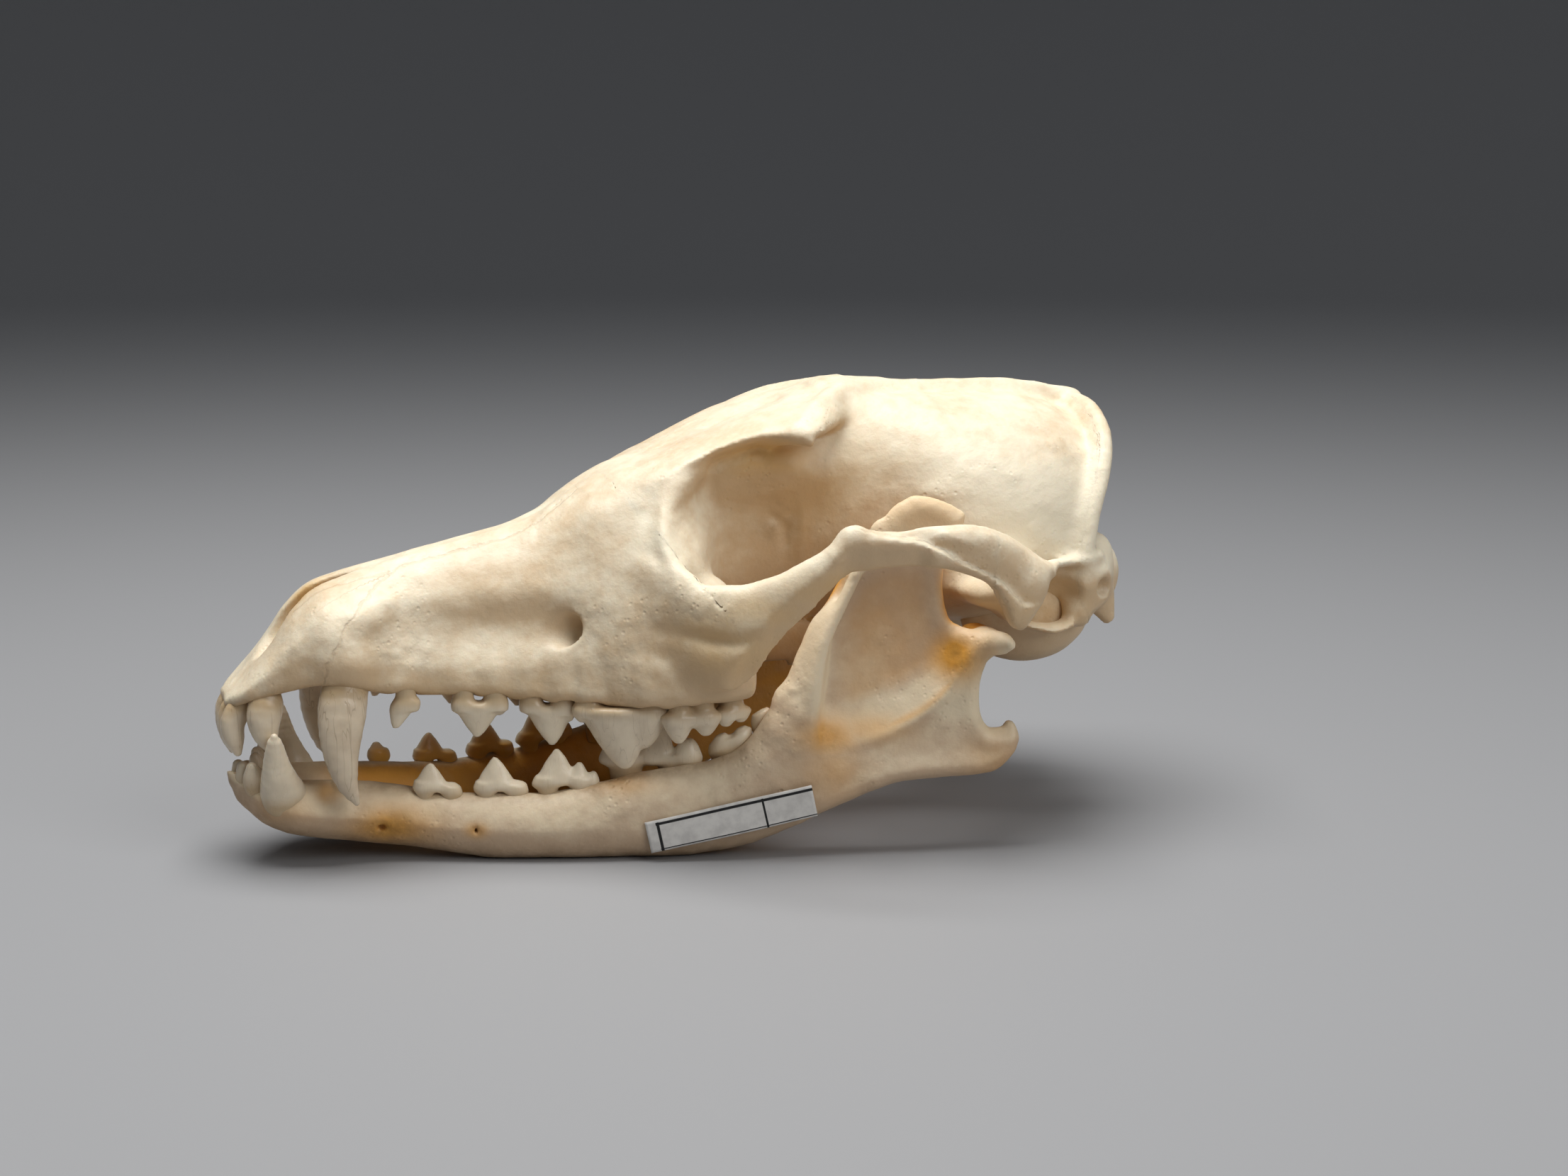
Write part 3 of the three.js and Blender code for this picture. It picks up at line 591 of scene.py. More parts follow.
# Paper with printed lines: along each edge at a set inset, and one across at a share of the length.
def labelMaterial(look):
    material, tree, shader = newMaterial("labelPaper", look["roughness"])
    uv = tree.nodes.new("ShaderNodeUVMap")
    uv.uv_map = "label"
    split = tree.nodes.new("ShaderNodeSeparateXYZ")
    tree.links.new(uv.outputs["UV"], split.inputs[0])
    u, v = split.outputs[0], split.outputs[1]
    ink = 0.0
    for value, name in ((v, "topLine"), (v, "lowLine"), (u, "endLine"), (u, "divider")):
        where, wide = look[name]
        off = maths(tree, "ABSOLUTE", maths(tree, "SUBTRACT", value, where))
        ink = maths(tree, "MAXIMUM", ink, spread(tree, off, wide * 0.6, wide, 1.0, 0.0))
    inside = maths(tree, "MULTIPLY", maths(tree, "GREATER_THAN", u, look["endLine"][0] - 0.012),
                   maths(tree, "LESS_THAN", v, look["topLine"][0] + 0.056))
    ink = maths(tree, "MULTIPLY", ink, inside)
    cloud = spread(tree, noise(tree, objectPlace(tree), look["cloudScale"], 4), 0.35, 0.7)
    paper = mixed(tree, cloud, (*look["paper"], 1), (*look["shade"], 1))
    tree.links.new(mixed(tree, ink, paper, (*look["ink"], 1)), shader.inputs["Base Color"])
    return material


boneLook = {"light": (0.86, 0.765, 0.58), "tan": (0.66, 0.48, 0.29), "amber": (0.70, 0.42, 0.13),
            "stain": (0.26, 0.14, 0.05), "roughness": 0.48, "glow": 0.1, "depth": 0.002, "seamWidth": 0.45,
            "grain": 0.5, "pits": 0.45}
# The jaw's colours, darker and warmer than the skull's, are partly the jaw's own tan and partly painted shade
# below the skull.
jawLook = {"light": (0.80, 0.67, 0.47), "tan": (0.59, 0.43, 0.285), "amber": (0.78, 0.38, 0.065),
           "stain": (0.20, 0.10, 0.03), "roughness": 0.48, "glow": 0.1, "depth": 0.002, "seamWidth": 0.45,
           "grain": 0.5, "pits": 0.5}
# The tooth's amber is painted warm light reflected from the jaw onto the inner sides.
toothLook = {"pale": (0.84, 0.73, 0.55), "grey": (0.56, 0.44, 0.31), "root": (0.50, 0.34, 0.17),
             "crack": (0.28, 0.20, 0.12), "amber": (0.82, 0.43, 0.07), "roughness": 0.27, "glow": 0.1,
             "depth": 0.0015, "cloudScale": 260, "crackScale": 640, "rippleScale": 700}
# The lines are given by their place and half width, as shares of the paper's height or length.
labelLook = {"paper": (0.72, 0.70, 0.66), "shade": (0.58, 0.56, 0.53), "ink": (0.012, 0.012, 0.012),
             "roughness": 0.75, "cloudScale": 500, "topLine": (0.88, 0.055), "lowLine": (0.06, 0.02),
             "endLine": (0.07, 0.011), "divider": (0.7, 0.008)}
groups = {"tint": boneTint(), "grain": boneGrain()}
bone = boneMaterial("skullBone", boneLook, groups)
jawBone = boneMaterial("jawBone", jawLook, groups)
enamel = toothMaterial(toothLook)
labelPaper = labelMaterial(labelLook)
print("materials made")

# Cranium outlines from the side, and its widths
cranium = {"canineHalf": 13.4, "browHalf": 20.2, "waistHalf": 14.5, "brainHalf": 25.6, "cheekWiden": 0.984,
           "socketSoft": 1.6, "unevenness": 0.16}
roof = curve((0.6, 28.7), (2, 29.9), (3.4, 31.3), (5.5, 33.8), (8, 37.2), (11, 41.6), (15, 45.0),
             (18.4, 46.3), (26.4, 48.6), (35.6, 50.9), (44.9, 53.0), (49.6, 54.4), (56.7, 58.0), (61.5, 60.2),
             (66.3, 62.2), (76, 66.3), (85.8, 70.6), (95.7, 73.4), (104.5, 74.6), (116, 74.2), (132, 74.0),
             (141, 73.0), (146, 70.8))
toothLine = curve((0.6, 26.8), (4.5, 28.4), (8, 29.3), (12, 30.4), (16, 31.0), (25, 28.6), (38, 27.4),
                  (52, 26.0), (63, 25.6), (76, 25.6), (84, 26.6))
snoutHalf = curve((0.4, 4.2), (2, 7.0), (4.5, 8.8), (8, 9.9), (12, 11.8), (16, cranium["canineHalf"] - 0.1),
                  (20, cranium["canineHalf"]), (25, 12.6), (31, 12.2), (38, 12.9), (45, 14.3), (52, 16.9),
                  (58, 20.2), (63, 23.2), (67, 25), (70, 25.2), (73, 22.6), (76, 17.4), (80, 9))
snout = hull(0.3, 80, snoutHalf,
             ((0.6, 28.2), (4.5, 31), (10, 33.5), (16, 35), (25, 33), (38, 32), (52, 31), (71, 32)),
             roof, toothLine, ((0.6, 2.4), (16, 2.4), (25, 2), (40, 1.8), (55, 1.9), (66, 2.1)), 8)
palate = hull(56, 84.5, ((56, 17), (66, 24.6), (71, 26.6), (76, 27.6), (80, 27.2), (81.6, 24), (83, 17),
                         (84.5, 10)),
              31, ((58, 37), (70, 37), (84, 34)), toothLine, 3, 4)
eyeWall = hull(58, 114, ((60, 13), (70, 11.2), (80, 9.8), (90, 10.4), (97, 12.4), (104, cranium["waistHalf"]),
                         (112, 18)),
               52, lambda x: roof(x) - 1 - 3 * ramp(x, 98, 112),
               ((60, 33), (80, 33.4), (88, 35.6), (104, 35.4), (112, 34.6)), 2.6, 2.6)
brow = hull(46, 103, ((46, 3), (54, 6.2), (60, 9.4), (64, 11.0), (68, 12.4), (74, 13.6), (80, 14.8),
                      (86, 17.2), (90, 19.4), (92, cranium["browHalf"]), (94, cranium["browHalf"] - 0.8),
                      (97, 16), (103, 8)),
            ((46, 49.4), (56, 54.3), (66, 60), (74, 64), (80, 66.6), (86, 68.1), (92, 68.3), (102, 70)),
            lambda x: roof(x) - 2.2 * (1 - ramp(x, 48, 62)),
            ((46, 45), (56, 49), (66, 55), (74, 60.3), (86, 64.9), (92, 66.0), (102, 67)), 2, 1.8)
brainHull = hull(95, 148.5, ((95, 10), (101, 13.6), (105, 15.5), (109, 18.6), (114, 22.4), (120, 24.8),
                             (127, cranium["brainHalf"]), (135, cranium["brainHalf"] - 1.2), (140, 22.4),
                             (145, 19.6), (149, 17.4)),
                 ((95, 54), (110, 51), (128, 49.5), (150, 49)),
                 ((95, 71.8), (104.5, 73.2), (112, 72.8), (132, 72.3), (138, 71.3), (143.5, 69.2),
                  (149, 66.6)),
                 ((97, 36.6), (112, 34), (128, 33.6), (144, 35), (150, 39)), 2.2, 2.5)

# Cheekbone: its edges seen from the side, its bow and thickness seen from above, and the suture on it
cheekTop = curve((58, 50), (64, 49), (69, 47.2), (72, 46.5), (76.6, 46.9), (81.2, 48.4), (85.9, 51.2),
                 (89.4, 53.6), (91.4, 56.4), (93, 56.8), (95.6, 55.9), (99.3, 55.7), (104, 56.1), (109, 56.3),
                 (113.5, 55.7), (118.3, 53.9), (123.2, 51), (127, 48.2), (129, 46.4))
cheekLow = curve((58, 36), (66, 32.4), (74, 30), (79, 30), (81.4, 35.0), (84.1, 39.4), (87.6, 43.4),
                 (90, 46.4), (93, 48.6), (97, 49.4), (101.7, 49.8), (106.5, 49.4), (111, 48.2), (115, 46.2),
                 (117.6, 42.6), (120, 38.6), (121.6, 38.2), (123.4, 40.4), (126, 43.6), (129, 45.4))
bow = curve((58, 11), (62, 15.6), (66, 21.2), (70, 26), (76, 31), (82, 34.8), (88, 37.8), (95, 40), (102, 41),
            (110, 40.8), (118, 38.8), (124, 35.8), (129, 32.5))
bowThick = curve((58, 2.4), (66, 3.3), (72, 3.8), (80, 3), (90, 2.2), (100, 1.9), (110, 2.1), (118, 2.6),
                 (125, 3), (129, 2))
cheekSuture = curve((90, 57.2), (96.3, 55.5), (103.1, 53.8), (109.2, 50.6), (115.8, 47.1), (121, 42.6))


# Middle of the arch's height, and its place out from the midline.
def cheekLevel(x):
    return (cheekTop(x) + cheekLow(x)) / 2


def cheekOut(x):
    return cranium["cheekWiden"] * bow(x)


cheekHull = hull(58, 129.4, bowThick, cheekLevel, cheekTop, cheekLow, 2.5, 2.5, cheekOut)


# The arch: its section, with the part above the suture set back a little, and a flat face below.
def cheekBar(x, s, z):
    over = z - cheekSuture(x)
    back = 1.4 * ramp(over, -0.3, 0.3) * (1 - 0.55 * ramp(over, 0.4, 3.5)) * ramp(x, 93, 98)
    out = s - cheekOut(x)
    under = cheekLevel(x) - 0.4 - z
    flat = (out - 0.5 * bowThick(x) + 0.6 * under) / 1.17 - 4 * ramp(x, 102, 109) - 4 * (1 - ramp(x, 73, 80))
    return overlap(cheekHull(x, s, z) + back * ramp(out, -0.6, 0.6), flat, 0.6)


# Back of the head: a plate inside the neck crest's outline, leaning with height.
neck = {"half": 24.6, "level": 44.0, "rise": 26.4, "drop": 9.0, "plate": 1.5, "round": 2.25, "dish": 1.2}
neckLean = curve((34, 142.6), (44, 139), (53, 140.6), (61, 144.2), (67, 146.6), (71, 147.2))


# The larger of the distance to the crest's outline, on the ray from its middle, and that to the dished plate.
def neckPlate(x, s, z):
    rise = z - neck["level"]
    reach = np.where(rise >= 0, neck["rise"], neck["drop"])
    n = neck["round"]
    r = np.maximum(((np.abs(s) / neck["half"]) ** n + (np.abs(rise) / reach) ** n) ** (1 / n), 1e-3)
    edge = (1 - 1 / r) * np.sqrt(s ** 2 + rise ** 2)
    dish = neck["dish"] * (1 - ramp(r, 0.3, 0.95))
    return overlap(edge, np.abs(x - neckLean(z) + 1.6 + dish) - neck["plate"], 1.0)


# Braincase: its sections, ending where the neck plate leans.
def brainCase(x, s, z):
    return overlap(brainHull(x, s, z), x - neckLean(z) + 0.8, 2)


# Rim of the neck crest: points on the outline at even angles from the top to the side.
def neckRim():
    angle = np.linspace(np.pi / 2, -0.1, 9)
    s = neck["half"] * np.cos(angle) ** 0.88
    reach = np.where(angle > 0, neck["rise"], neck["drop"])
    z = neck["level"] + reach * np.sign(angle) * np.abs(np.sin(angle)) ** 0.9
    return rod(np.stack([neckLean(z) - 0.9, s, z], 1), ((0, 1.1), (0.5, 1.1), (1, 1.3)), 1.4, 16)


# Forms of one half of the cranium, in the order in which they grow together: box, field and softness
craniumForms = {
    "snout": ((-3, -1, 22), (80, 32, 68), snout, 2),
    "palate": ((50, -1, 22), (90, 32, 42), palate, 3),
    "eyeWall": ((54, -1, 28), (118, 26, 77), eyeWall, 4),
    "brow": ((50, -1, 44), (107, 26, 77), brow, 2.5),
    "foreheadSlope": ((46, -1, 42), (80, 22, 68), rod(
        [(50, 4.6, 49.4), (58, 8.6, 53.8), (64, 10.6, 56.4), (71, 12.0, 59.6)],
        ((0, 1.4), (0.4, 2.4), (1, 2.6)), ((0, 1.4), (0.4, 2.4), (1, 2.6))), 3),
    "braincase": ((90, -1, 28), (152, 32, 77), brainCase, 5),
    "topCrest": ((98, -1, 66), (150, 8, 78), rod(
        [(100, 0, 73.0), (114, 0, 72.8), (130, 0, 72.8), (139, 0, 72.0), (146.5, 0, 70.2)],
        ((0, 2.2), (0.4, 1.2), (1, 1.4)), 1.5), 3),
    "templeLine": ((86, -1, 62), (114, 24, 78), rod(
        [(90.5, 18, 68.6), (96, 12, 72.0), (102, 5.5, 73.3), (110, 0, 73.2)], 1.1, 1.2), 2.5),
    "browTip": ((84, 10, 58), (97, 25, 74), rod(
        [(87, 14, 67.3), (90, 18.0, 67.5), (91.8, 20.0, 67.2)],
        ((0, 1.8), (1, 1.0)), ((0, 1.3), (1, 0.8))), 1.6),
    "socketFloor": ((64, 8, 30), (84, 26, 50), ball((73.4, 16.6, 40.6), (6.6, 6.2, 6.2)), 2.5),
    "socketRoof": ((74, 2, 50), (104, 20, 72), ball((89, 8.6, 61.6), (13, 5.6, 5.6)), 3),
    "backOfBrain": ((126, -1, 34), (152, 18, 66), ball((138.5, 0, 50), (9.6, 13, 12.5)), 3),
    "neckPlate": ((130, -1, 30), (152, 30, 76), neckPlate, 2),
    "neckRim": ((132, -1, 38), (152, 30, 76), neckRim(), 1.2),
    "neckMidline": ((138, -1, 44), (150, 6, 74), rod(
        [(144.6, 0, 70), (143.6, 0, 62), (141.8, 0, 54)], 0.9, 1.3), 1.5),
    "neckKnuckle": ((138, 1, 31), (155.5, 17, 50), ball((146.8, 8.3, 41), (5.2, 4.6, 6.4)), 1.8),
    "neckSpur": ((136, 12, 28), (152, 28, 52), rod(
        [(141.4, 19.6, 46), (142.8, 20.2, 40), (144.6, 20.4, 35.6)],
        ((0, 3.2), (0.6, 2.0), (1, 1.1)), ((0, 4.2), (0.6, 2.9), (1, 1.3))), 1.6),
    "mastoid": ((130, 15, 33), (146, 29, 52), ball((139.2, 22.4, 42.2), (4.8, 3.6, 5.4)), 1.4),
    "mastoidTip": ((130, 15, 32), (146, 29, 44), ball((138.0, 23.2, 37.4), (2.6, 2.4, 2.6)), 1.2),
    "palateWing": ((72, 2, 24), (104, 14, 42), rod(
        [(76, 8.8, 33.6), (86, 8.4, 32.4), (95, 7.6, 31.8), (99.8, 7.0, 29.8)],
        ((0, 1.6), (1, 0.8)), ((0, 4.6), (0.8, 3.6), (1, 1.2))), 1.5),
    "cheekRoot": ((112, 14, 34), (132, 42, 54), rod(
        [(122.6, 18, 44.4), (123, 28, 44.2), (122.8, 36, 45)], 3, ((0, 6), (0.5, 3.9), (1, 3.6))), 3),
    "jawSocket": ((114, 16, 38), (131, 34, 50), ball((122.2, 25, 42.6), (6.6, 9, 3)), 2),
    "jawSocketLip": ((118, 20, 35), (128, 40, 48), ball((122.7, 30, 41), (2.0, 6.6, 3.2)), 1.6),
    "earCrest": ((122, 18, 41), (144, 38, 52), rod(
        [(126.6, 33.6, 47), (131, 28.6, 46.8), (136, 25.2, 46.4), (141, 23.4, 46.8)],
        ((0, 1.6), (1, 1.3)), 0.8), 1.3),
    "earRim": ((120, 16, 30), (144, 32, 46), rod(
        [(125.4, 23.8, 37.4), (128.4, 24.8, 36.0), (132, 25, 35.3), (135.6, 24.4, 35.8)],
        ((0, 2.4), (0.5, 2.8), (1, 2.2)), 0.75), 1.2),
    "socketRim": ((60, 10, 44), (84, 28, 70), rod(
        [(70.4, 25.2, 46.8), (68.2, 22.8, 48.8), (67.6, 20.4, 51.8), (68.6, 17.5, 55.4), (70.6, 14.6, 59),
         (75, 12.8, 62.2)], 0.9, 1.1), 2.8),
    "canineRoot": ((12, 4, 26), (32, 17, 50), rod(
        [(18.7, 11.2, 34.4), (19.8, 10.7, 38), (24.5, 9.0, 42)],
        ((0, 3.7), (0.6, 2.9), (1, 1.6)), ((0, 4.2), (0.6, 3.2), (1, 2))), 2),
}
eyeSocket = ((62, 8, 42), (106, 45, 72), ball((84.6, 27.4, 56.6), (17.2, 16, 10.4)), cranium["socketSoft"])
cheekArch = ((54, 6, 26), (132, 45, 62), cheekBar, 2.4)
# What is hollow, in the same way
craniumHollows = {
    "nose": ((-3, -1, 28), (32, 12, 50), rod(
        [(-4, 0, 38.6), (4, 0, 37.6), (9, 0, 38.6), (14, 0, 41.2), (19, 0, 42.8), (28, 0, 41)],
        ((0, 3.8), (0.24, 3.6), (0.4, 3.0), (0.57, 2.2), (0.72, 1.7), (1, 2.4)),
        ((0, 5.4), (0.24, 4.0), (0.4, 3.9), (0.57, 4.0), (0.72, 3.2), (1, 2.8))), 0.8),
    "mouthRoof": ((4, -1, 22), (92, 20, 34), hull(
        6, 92, ((6, 4), (20, 8), (40, 9.4), (56, 12), (66, 15.5), (76, 16.4), (92, 15)),
        lambda x: toothLine(x) - 0.6, lambda x: toothLine(x) + 2.6, lambda x: toothLine(x) - 5, 2.4, 3), 1.8),
    "throat": ((72, -1, 26), (104, 9, 42), ball((88, 0, 34), (13, 6.2, 4.6)), 1.5),
    "snoutSide": ((18, 6, 30), (60, 26, 50), ball((36.5, 18.4, 39.6), (17, 8, 6.4)), 3),
    "cheekGroove": ((60, 18, 34), (82, 40, 44), rod(
        [(65, 24.2, 38.9), (70, 29.2, 38.5), (75, 33.0, 38.4), (78.5, 35.4, 39)],
        ((0, 0.2), (0.5, 0.4), (1, 0.2)), ((0, 0.3), (0.5, 0.7), (1, 0.3))), 1.4),
    "faceNerveHole": ((34, 8, 30), (62, 26, 46), rod(
        [(38, 17.2, 40.2), (46, 15.9, 39.4), (51, 15.1, 38.5), (60, 14.2, 37.2)],
        ((0, 2.2), (0.6, 1.9), (1, 1.1)), ((0, 3.2), (0.6, 2.9), (1, 1.6))), 0.7),
    "brain": ((108, -1, 36), (146, 22, 70), ball((126, 0, 52), (16, 16, 13)), 1),
    "neckOpening": ((124, -1, 34), (155.5, 12, 56), rod(
        [(128, 0, 48), (146, 0, 45.4), (160, 0, 43.4)], 6.6, 5.8), 1.2),
    "ear": ((122, 14, 33), (144, 34, 48), ball((131.2, 26.4, 40.6), (6.0, 5.4, 4.0)), 0.8),
    "mastoidPit": ((136, 18, 34), (147, 30, 47), ball((142.0, 25.2, 41.6), (1.8, 1.9, 1.7)), 0.6),
    "mastoidNotch": ((136, 18, 32), (147, 30, 45), ball((140.8, 25.2, 36.4), (1.5, 1.7, 1.4)), 0.6),
    "palateSlot": ((8, -1, 24), (20, 6, 36), ball((13, 3.0, 31), (4.4, 1.4, 4)), 0.8),
    "eyeNerveHole": ((84, 6, 46), (96, 16, 60), rod(
        [(88.6, 11.2, 54), (90.6, 11.4, 51.6), (90.8, 11.4, 49)],
        1.2, ((0, 0.5), (0.5, 1.0), (1, 0.6))), 0.6),
    "browPore": ((62, 8, 58), (72, 20, 68), ball((67, 13.2, 63.0), (0.7, 2.2, 0.6)), 0.4),
    "cheekPore": ((52, 14, 36), (60, 26, 46), ball((56.6, 19.4, 43), (0.8, 2, 0.7)), 0.4),
}
# Places of the upper tooth roots along x
rootPlaces = (27.4, 36.8, 41.8, 47.4, 52.4, 56.2, 64.8, 69.4, 73.0)


# Swelling over a tooth root, and the scallop in the socket's edge below it.
def rootSwelling(x):
    s, low = snoutHalf(np.array(x)), toothLine(x)
    thick = ((0, 2.0), (1, 1.2))
    return ((x - 5, s - 8, 24), (x + 5, s + 4, 40),
            rod([(x, s - 1.9, low + 2.6), (x, s - 2.4, low + 8)], thick, thick, 4), 2)


def rootScallop(x):
    s = snoutHalf(np.array(x))
    return ((x - 4, s - 7, 22), (x + 4, s + 4, 34),
            ball((x, s - 0.6, toothLine(x) - 0.3), (1.9, 3.0, 1.5)), 0.8)


# Adds every form of one half of the cranium, then takes the hollows away. The forehead dips along the
# midline, and the nose bones meet in a crease.
def buildCranium():
    half = Block((-2.5, 0.0, 22.5), (155.5, 44.5, 77.5), grid["bone"])
    for form in craniumForms.values():
        half.add(*form)
    for x in rootPlaces:
        half.add(*rootSwelling(x))
    half.soften((42, 0.5, 40), (68, 27, 64), 24)
    half.carve(*eyeSocket)
    half.add(*cheekArch)
    for form in craniumHollows.values():
        half.carve(*form)
    for x in rootPlaces:
        half.carve(*rootScallop(x))
    cut, (x, s, z) = half.part((8, -1, 40), (104, 9, 77.5))
    dip = 1.3 * np.exp(-(s / 5.5) ** 2) * ramp(x, 62, 74) * (1 - ramp(x, 90, 104))
    crease = 0.4 * np.exp(-(s / 1.3) ** 2) * ramp(x, 9, 14) * (1 - ramp(x, 56, 66))
    half.value[cut] += (dip + crease) * ramp(z - roof(x), -6, -2)
    return half


skull = buildCranium().mirrored()
unevenness(skull, 7.0, cranium["unevenness"], 3)
unevenness(skull, 2.6, cranium["unevenness"] * 0.4, 4)
print("cranium field made", skull.value.shape)

# Bones of the cranium part along waved planes, given by a point and a normal, and overlap by a hairline.
# The back one follows the neck plate. Behind the face plane the rostrum keeps what lies outside faceSide.
seams = {"face": ((72, 0, 46), (36, 0, 24)), "backInset": 2.4, "cheekSide": ((66, 21.6, 0), (-0.233, 1, 0)),
         "cheekBack": ((116.4, 0, 48), (1, 0.3, 0)), "cheekBackOut": 38, "faceEnd": 86, "faceSide": 23,
         "hairline": -0.1, "wave": 0.2}
earDrum = {"centre": (132, 14.6, 36.2), "radii": (11.2, 7.8, 8.4), "top": 41}


# Small wave along a seam.
def seamWave(x, s, z):
    return seams["wave"] * np.sin(1.3 * s + 2.1 * np.sin(0.7 * z)) * np.cos(1.1 * z + 0.5 * x)


# Signed distance to a seam's plane, waved.
def seamDistance(name, x, s, z):
    point, normal = seams[name]
    n = np.array(normal) / np.linalg.norm(normal)
    flat = (x - point[0]) * n[0] + (s - point[1]) * n[1] + (z - point[2]) * n[2]
    return flat + seamWave(x, s, z)


# Ear capsule: an ellipsoid cut flat at its top.
def drumField(x, s, z, grow=0.0):
    return np.maximum(ball(earDrum["centre"], earDrum["radii"])(x, s, z) + grow, z - earDrum["top"])


# Marks for the bone: amber, painted as glow of light through thin bone and as shade in sheltered hollows,
# stains along the teeth, and the nearest suture.
# A spot has its centre, its radii and its amount.
# Amber spots, painted glow and painted shade: the eye socket, under the brow, the ear, the nose opening,
# under the palate, the jaw socket, under the cheek arch and on the cheekbone.
amberSpots = [((97, 12, 57), (12, 7, 11), 0.35), ((79, 33, 43.5), (6, 5, 3), 0.45),
              ((87, 13, 64.5), (8, 7, 3.2), 0.85), ((131, 24, 40), (5.5, 5, 3.6), 0.5),
              ((14, 0.5, 43.2), (6, 2.6, 2.6), 1.0), ((50, 0, 28), (36, 13, 4), 0.5),
              ((118, 30, 41), (6, 9, 4), 0.4), ((92, 38, 47), (12, 4, 3), 0.35),
              ((98, 6, 33), (18, 10, 6), 0.6), ((74, 31, 38), (9, 6, 6), 0.4)]
stainSpots = [((131, 23, 40), (4, 4, 2.6), 0.2), ((89, 11, 52), (3, 3, 3), 0.4),
              ((142, 25, 41.6), (1.6, 3, 1.5), 0.5), ((51, 16, 38), (4, 3, 3), 0.25)]
noseSuture = curve((10, 4.6), (20, 5.4), (34, 4.2), (48, 4.4), (60, 3.0))
frontSuture = curve((31, 14.4), (34.7, 15.4), (38.2, 17.1), (42.4, 20.5), (46, 24.6), (50, 33.4))


def craniumMarks(points):
    x, s, z = points[:, 0], np.abs(points[:, 1]), points[:, 2]
    toothEdge = 0.45 * np.exp(-((z - toothLine(x)) / 1.3) ** 2) * (x < 84)
    far = 9
    sutures = np.stack([
        np.where((s > 30) & (x > 92) & (x < 121), z - cheekSuture(x), far),
        np.where((x < 58) & (x > 11) & (z > roof(x) - 14), s - noseSuture(x), far),
        np.where((x < 34) & (z > toothLine(x)) & (s > 4), (x - frontSuture(z)) * 0.7, far)])
    seam = np.take_along_axis(sutures, np.abs(sutures).argmin(0)[None], 0)[0]
    pale = 0.6 * ramp(x, 106, 118) * ramp(z, 40, 50) * (1 - ramp(z, 56, 70)) * (1 - ramp(s, 28, 32))
    return {"amber": spots(points, amberSpots), "stain": np.maximum(spots(points, stainSpots), toothEdge),
            "seam": np.clip(seam, -far, far), "pale": pale}


# Cuts the cranium into its bones: each keeps what lies on its side of the seams, by the larger distance.
def buildSkullPieces():
    x, y, z = np.ix_(*skull.axes)
    s = np.abs(y)
    face = seamDistance("face", x, s, z)
    cheek = np.maximum(-seamDistance("cheekSide", x, s, z),
                       seamDistance("cheekBack", x, s - seams["cheekBackOut"], z))
    cheek = np.maximum(cheek, -face)
    back = x - neckLean(z) + seams["backInset"] + seamWave(x, s, z)
    hair = seams["hairline"]
    rest = np.maximum(hair - cheek, hair - drumField(x, s, z))
    ahead = np.minimum(face, np.maximum(x - seams["faceEnd"], seams["faceSide"] - s))
    cutters = (
        ("rostrumBone", "rostrum", np.maximum(rest, ahead + hair)),
        ("braincaseBone", "braincase", np.maximum(np.maximum(rest, hair - ahead), back + hair)),
        ("occiputBone", "occiput", np.maximum(rest, hair - back)),
        ("cheekboneLeft", "cheekbone_left", np.maximum(cheek + hair, y)),
        ("cheekboneRight", "cheekbone_right", np.maximum(cheek + hair, -y)))
    for name, node, cutter in cutters:
        points, quads, normals = cutMeshOf(skull, cutter)
        made = piece(name, points, quads, bone, "bone", [node], craniumMarks(points))
        made.data.normals_split_custom_set_from_vertices(normals)
    for name, node, side in (("bullaLeft", "bulla_left", -1), ("bullaRight", "bulla_right", 1)):
        block = Block((118, 4, 25), (146, 25, 44), grid["bone"])
        block.value = drumField(*np.ix_(*block.axes), hair)
        unevenness(block, 5.0, 0.12, 9)
        points, quads = toSide(*meshOf(block), side, 0.0)
        piece(name, points, quads, bone, "bone", [node], craniumMarks(points))


buildSkullPieces()

# Lower jaw: outline from the side, middle line and thickness from above
jaw = {"bodyRound": 6.4, "branchRound": 2.6, "branchThick": 1.55, "fossa": 2.1, "midGap": 0.15}
jawTop = curve((0.3, 16.4), (3, 15.8), (8, 14.8), (14, 14.2), (20, 13.7), (27.6, 12.7), (36, 11.6),
               (47, 11.6), (56, 13), (63.5, 14.8), (70, 15.8), (75, 16.7), (80, 19.4), (84, 25))
jawLow = curve((0.3, 14.6), (1.9, 11.2), (4, 8.9), (7.2, 6.8), (10.5, 5.6), (18.4, 4.1), (25, 3.1),
               (30.2, 2.4), (35.5, 1.7), (41, 1.0), (68, 1.0), (74, 1.4), (80, 2.5), (85.3, 4.6), (91, 7.2))
branchFront = curve((25, 84), (27.5, 84.8), (29.7, 86.4), (34.4, 88.4), (39, 90.4), (43.3, 94), (54, 100.4),
                    (57.7, 103.2), (59.3, 106.2))
branchBack = curve((7.2, 91), (9.6, 96.6), (11, 99.8), (12.3, 103.4), (12.8, 107), (13.0, 114), (13.3, 118.6),
                   (15.4, 121.9), (17.4, 123.4), (19.2, 123.8), (20.6, 123.4), (21.7, 122.4))
hingeEdge = [(122.4, 21.7), (121.2, 20.8), (119.4, 20.8), (118, 22), (117.2, 24.6), (117.2, 27.7), (118, 31),
             (119.2, 34), (118.6, 36.4), (115.4, 37.4), (113, 38.7), (112, 41.6), (111.7, 46.3), (112.3, 50),
             (114, 53.6), (114.6, 55.8), (112.6, 57.3), (109, 59), (106.2, 59.3)]
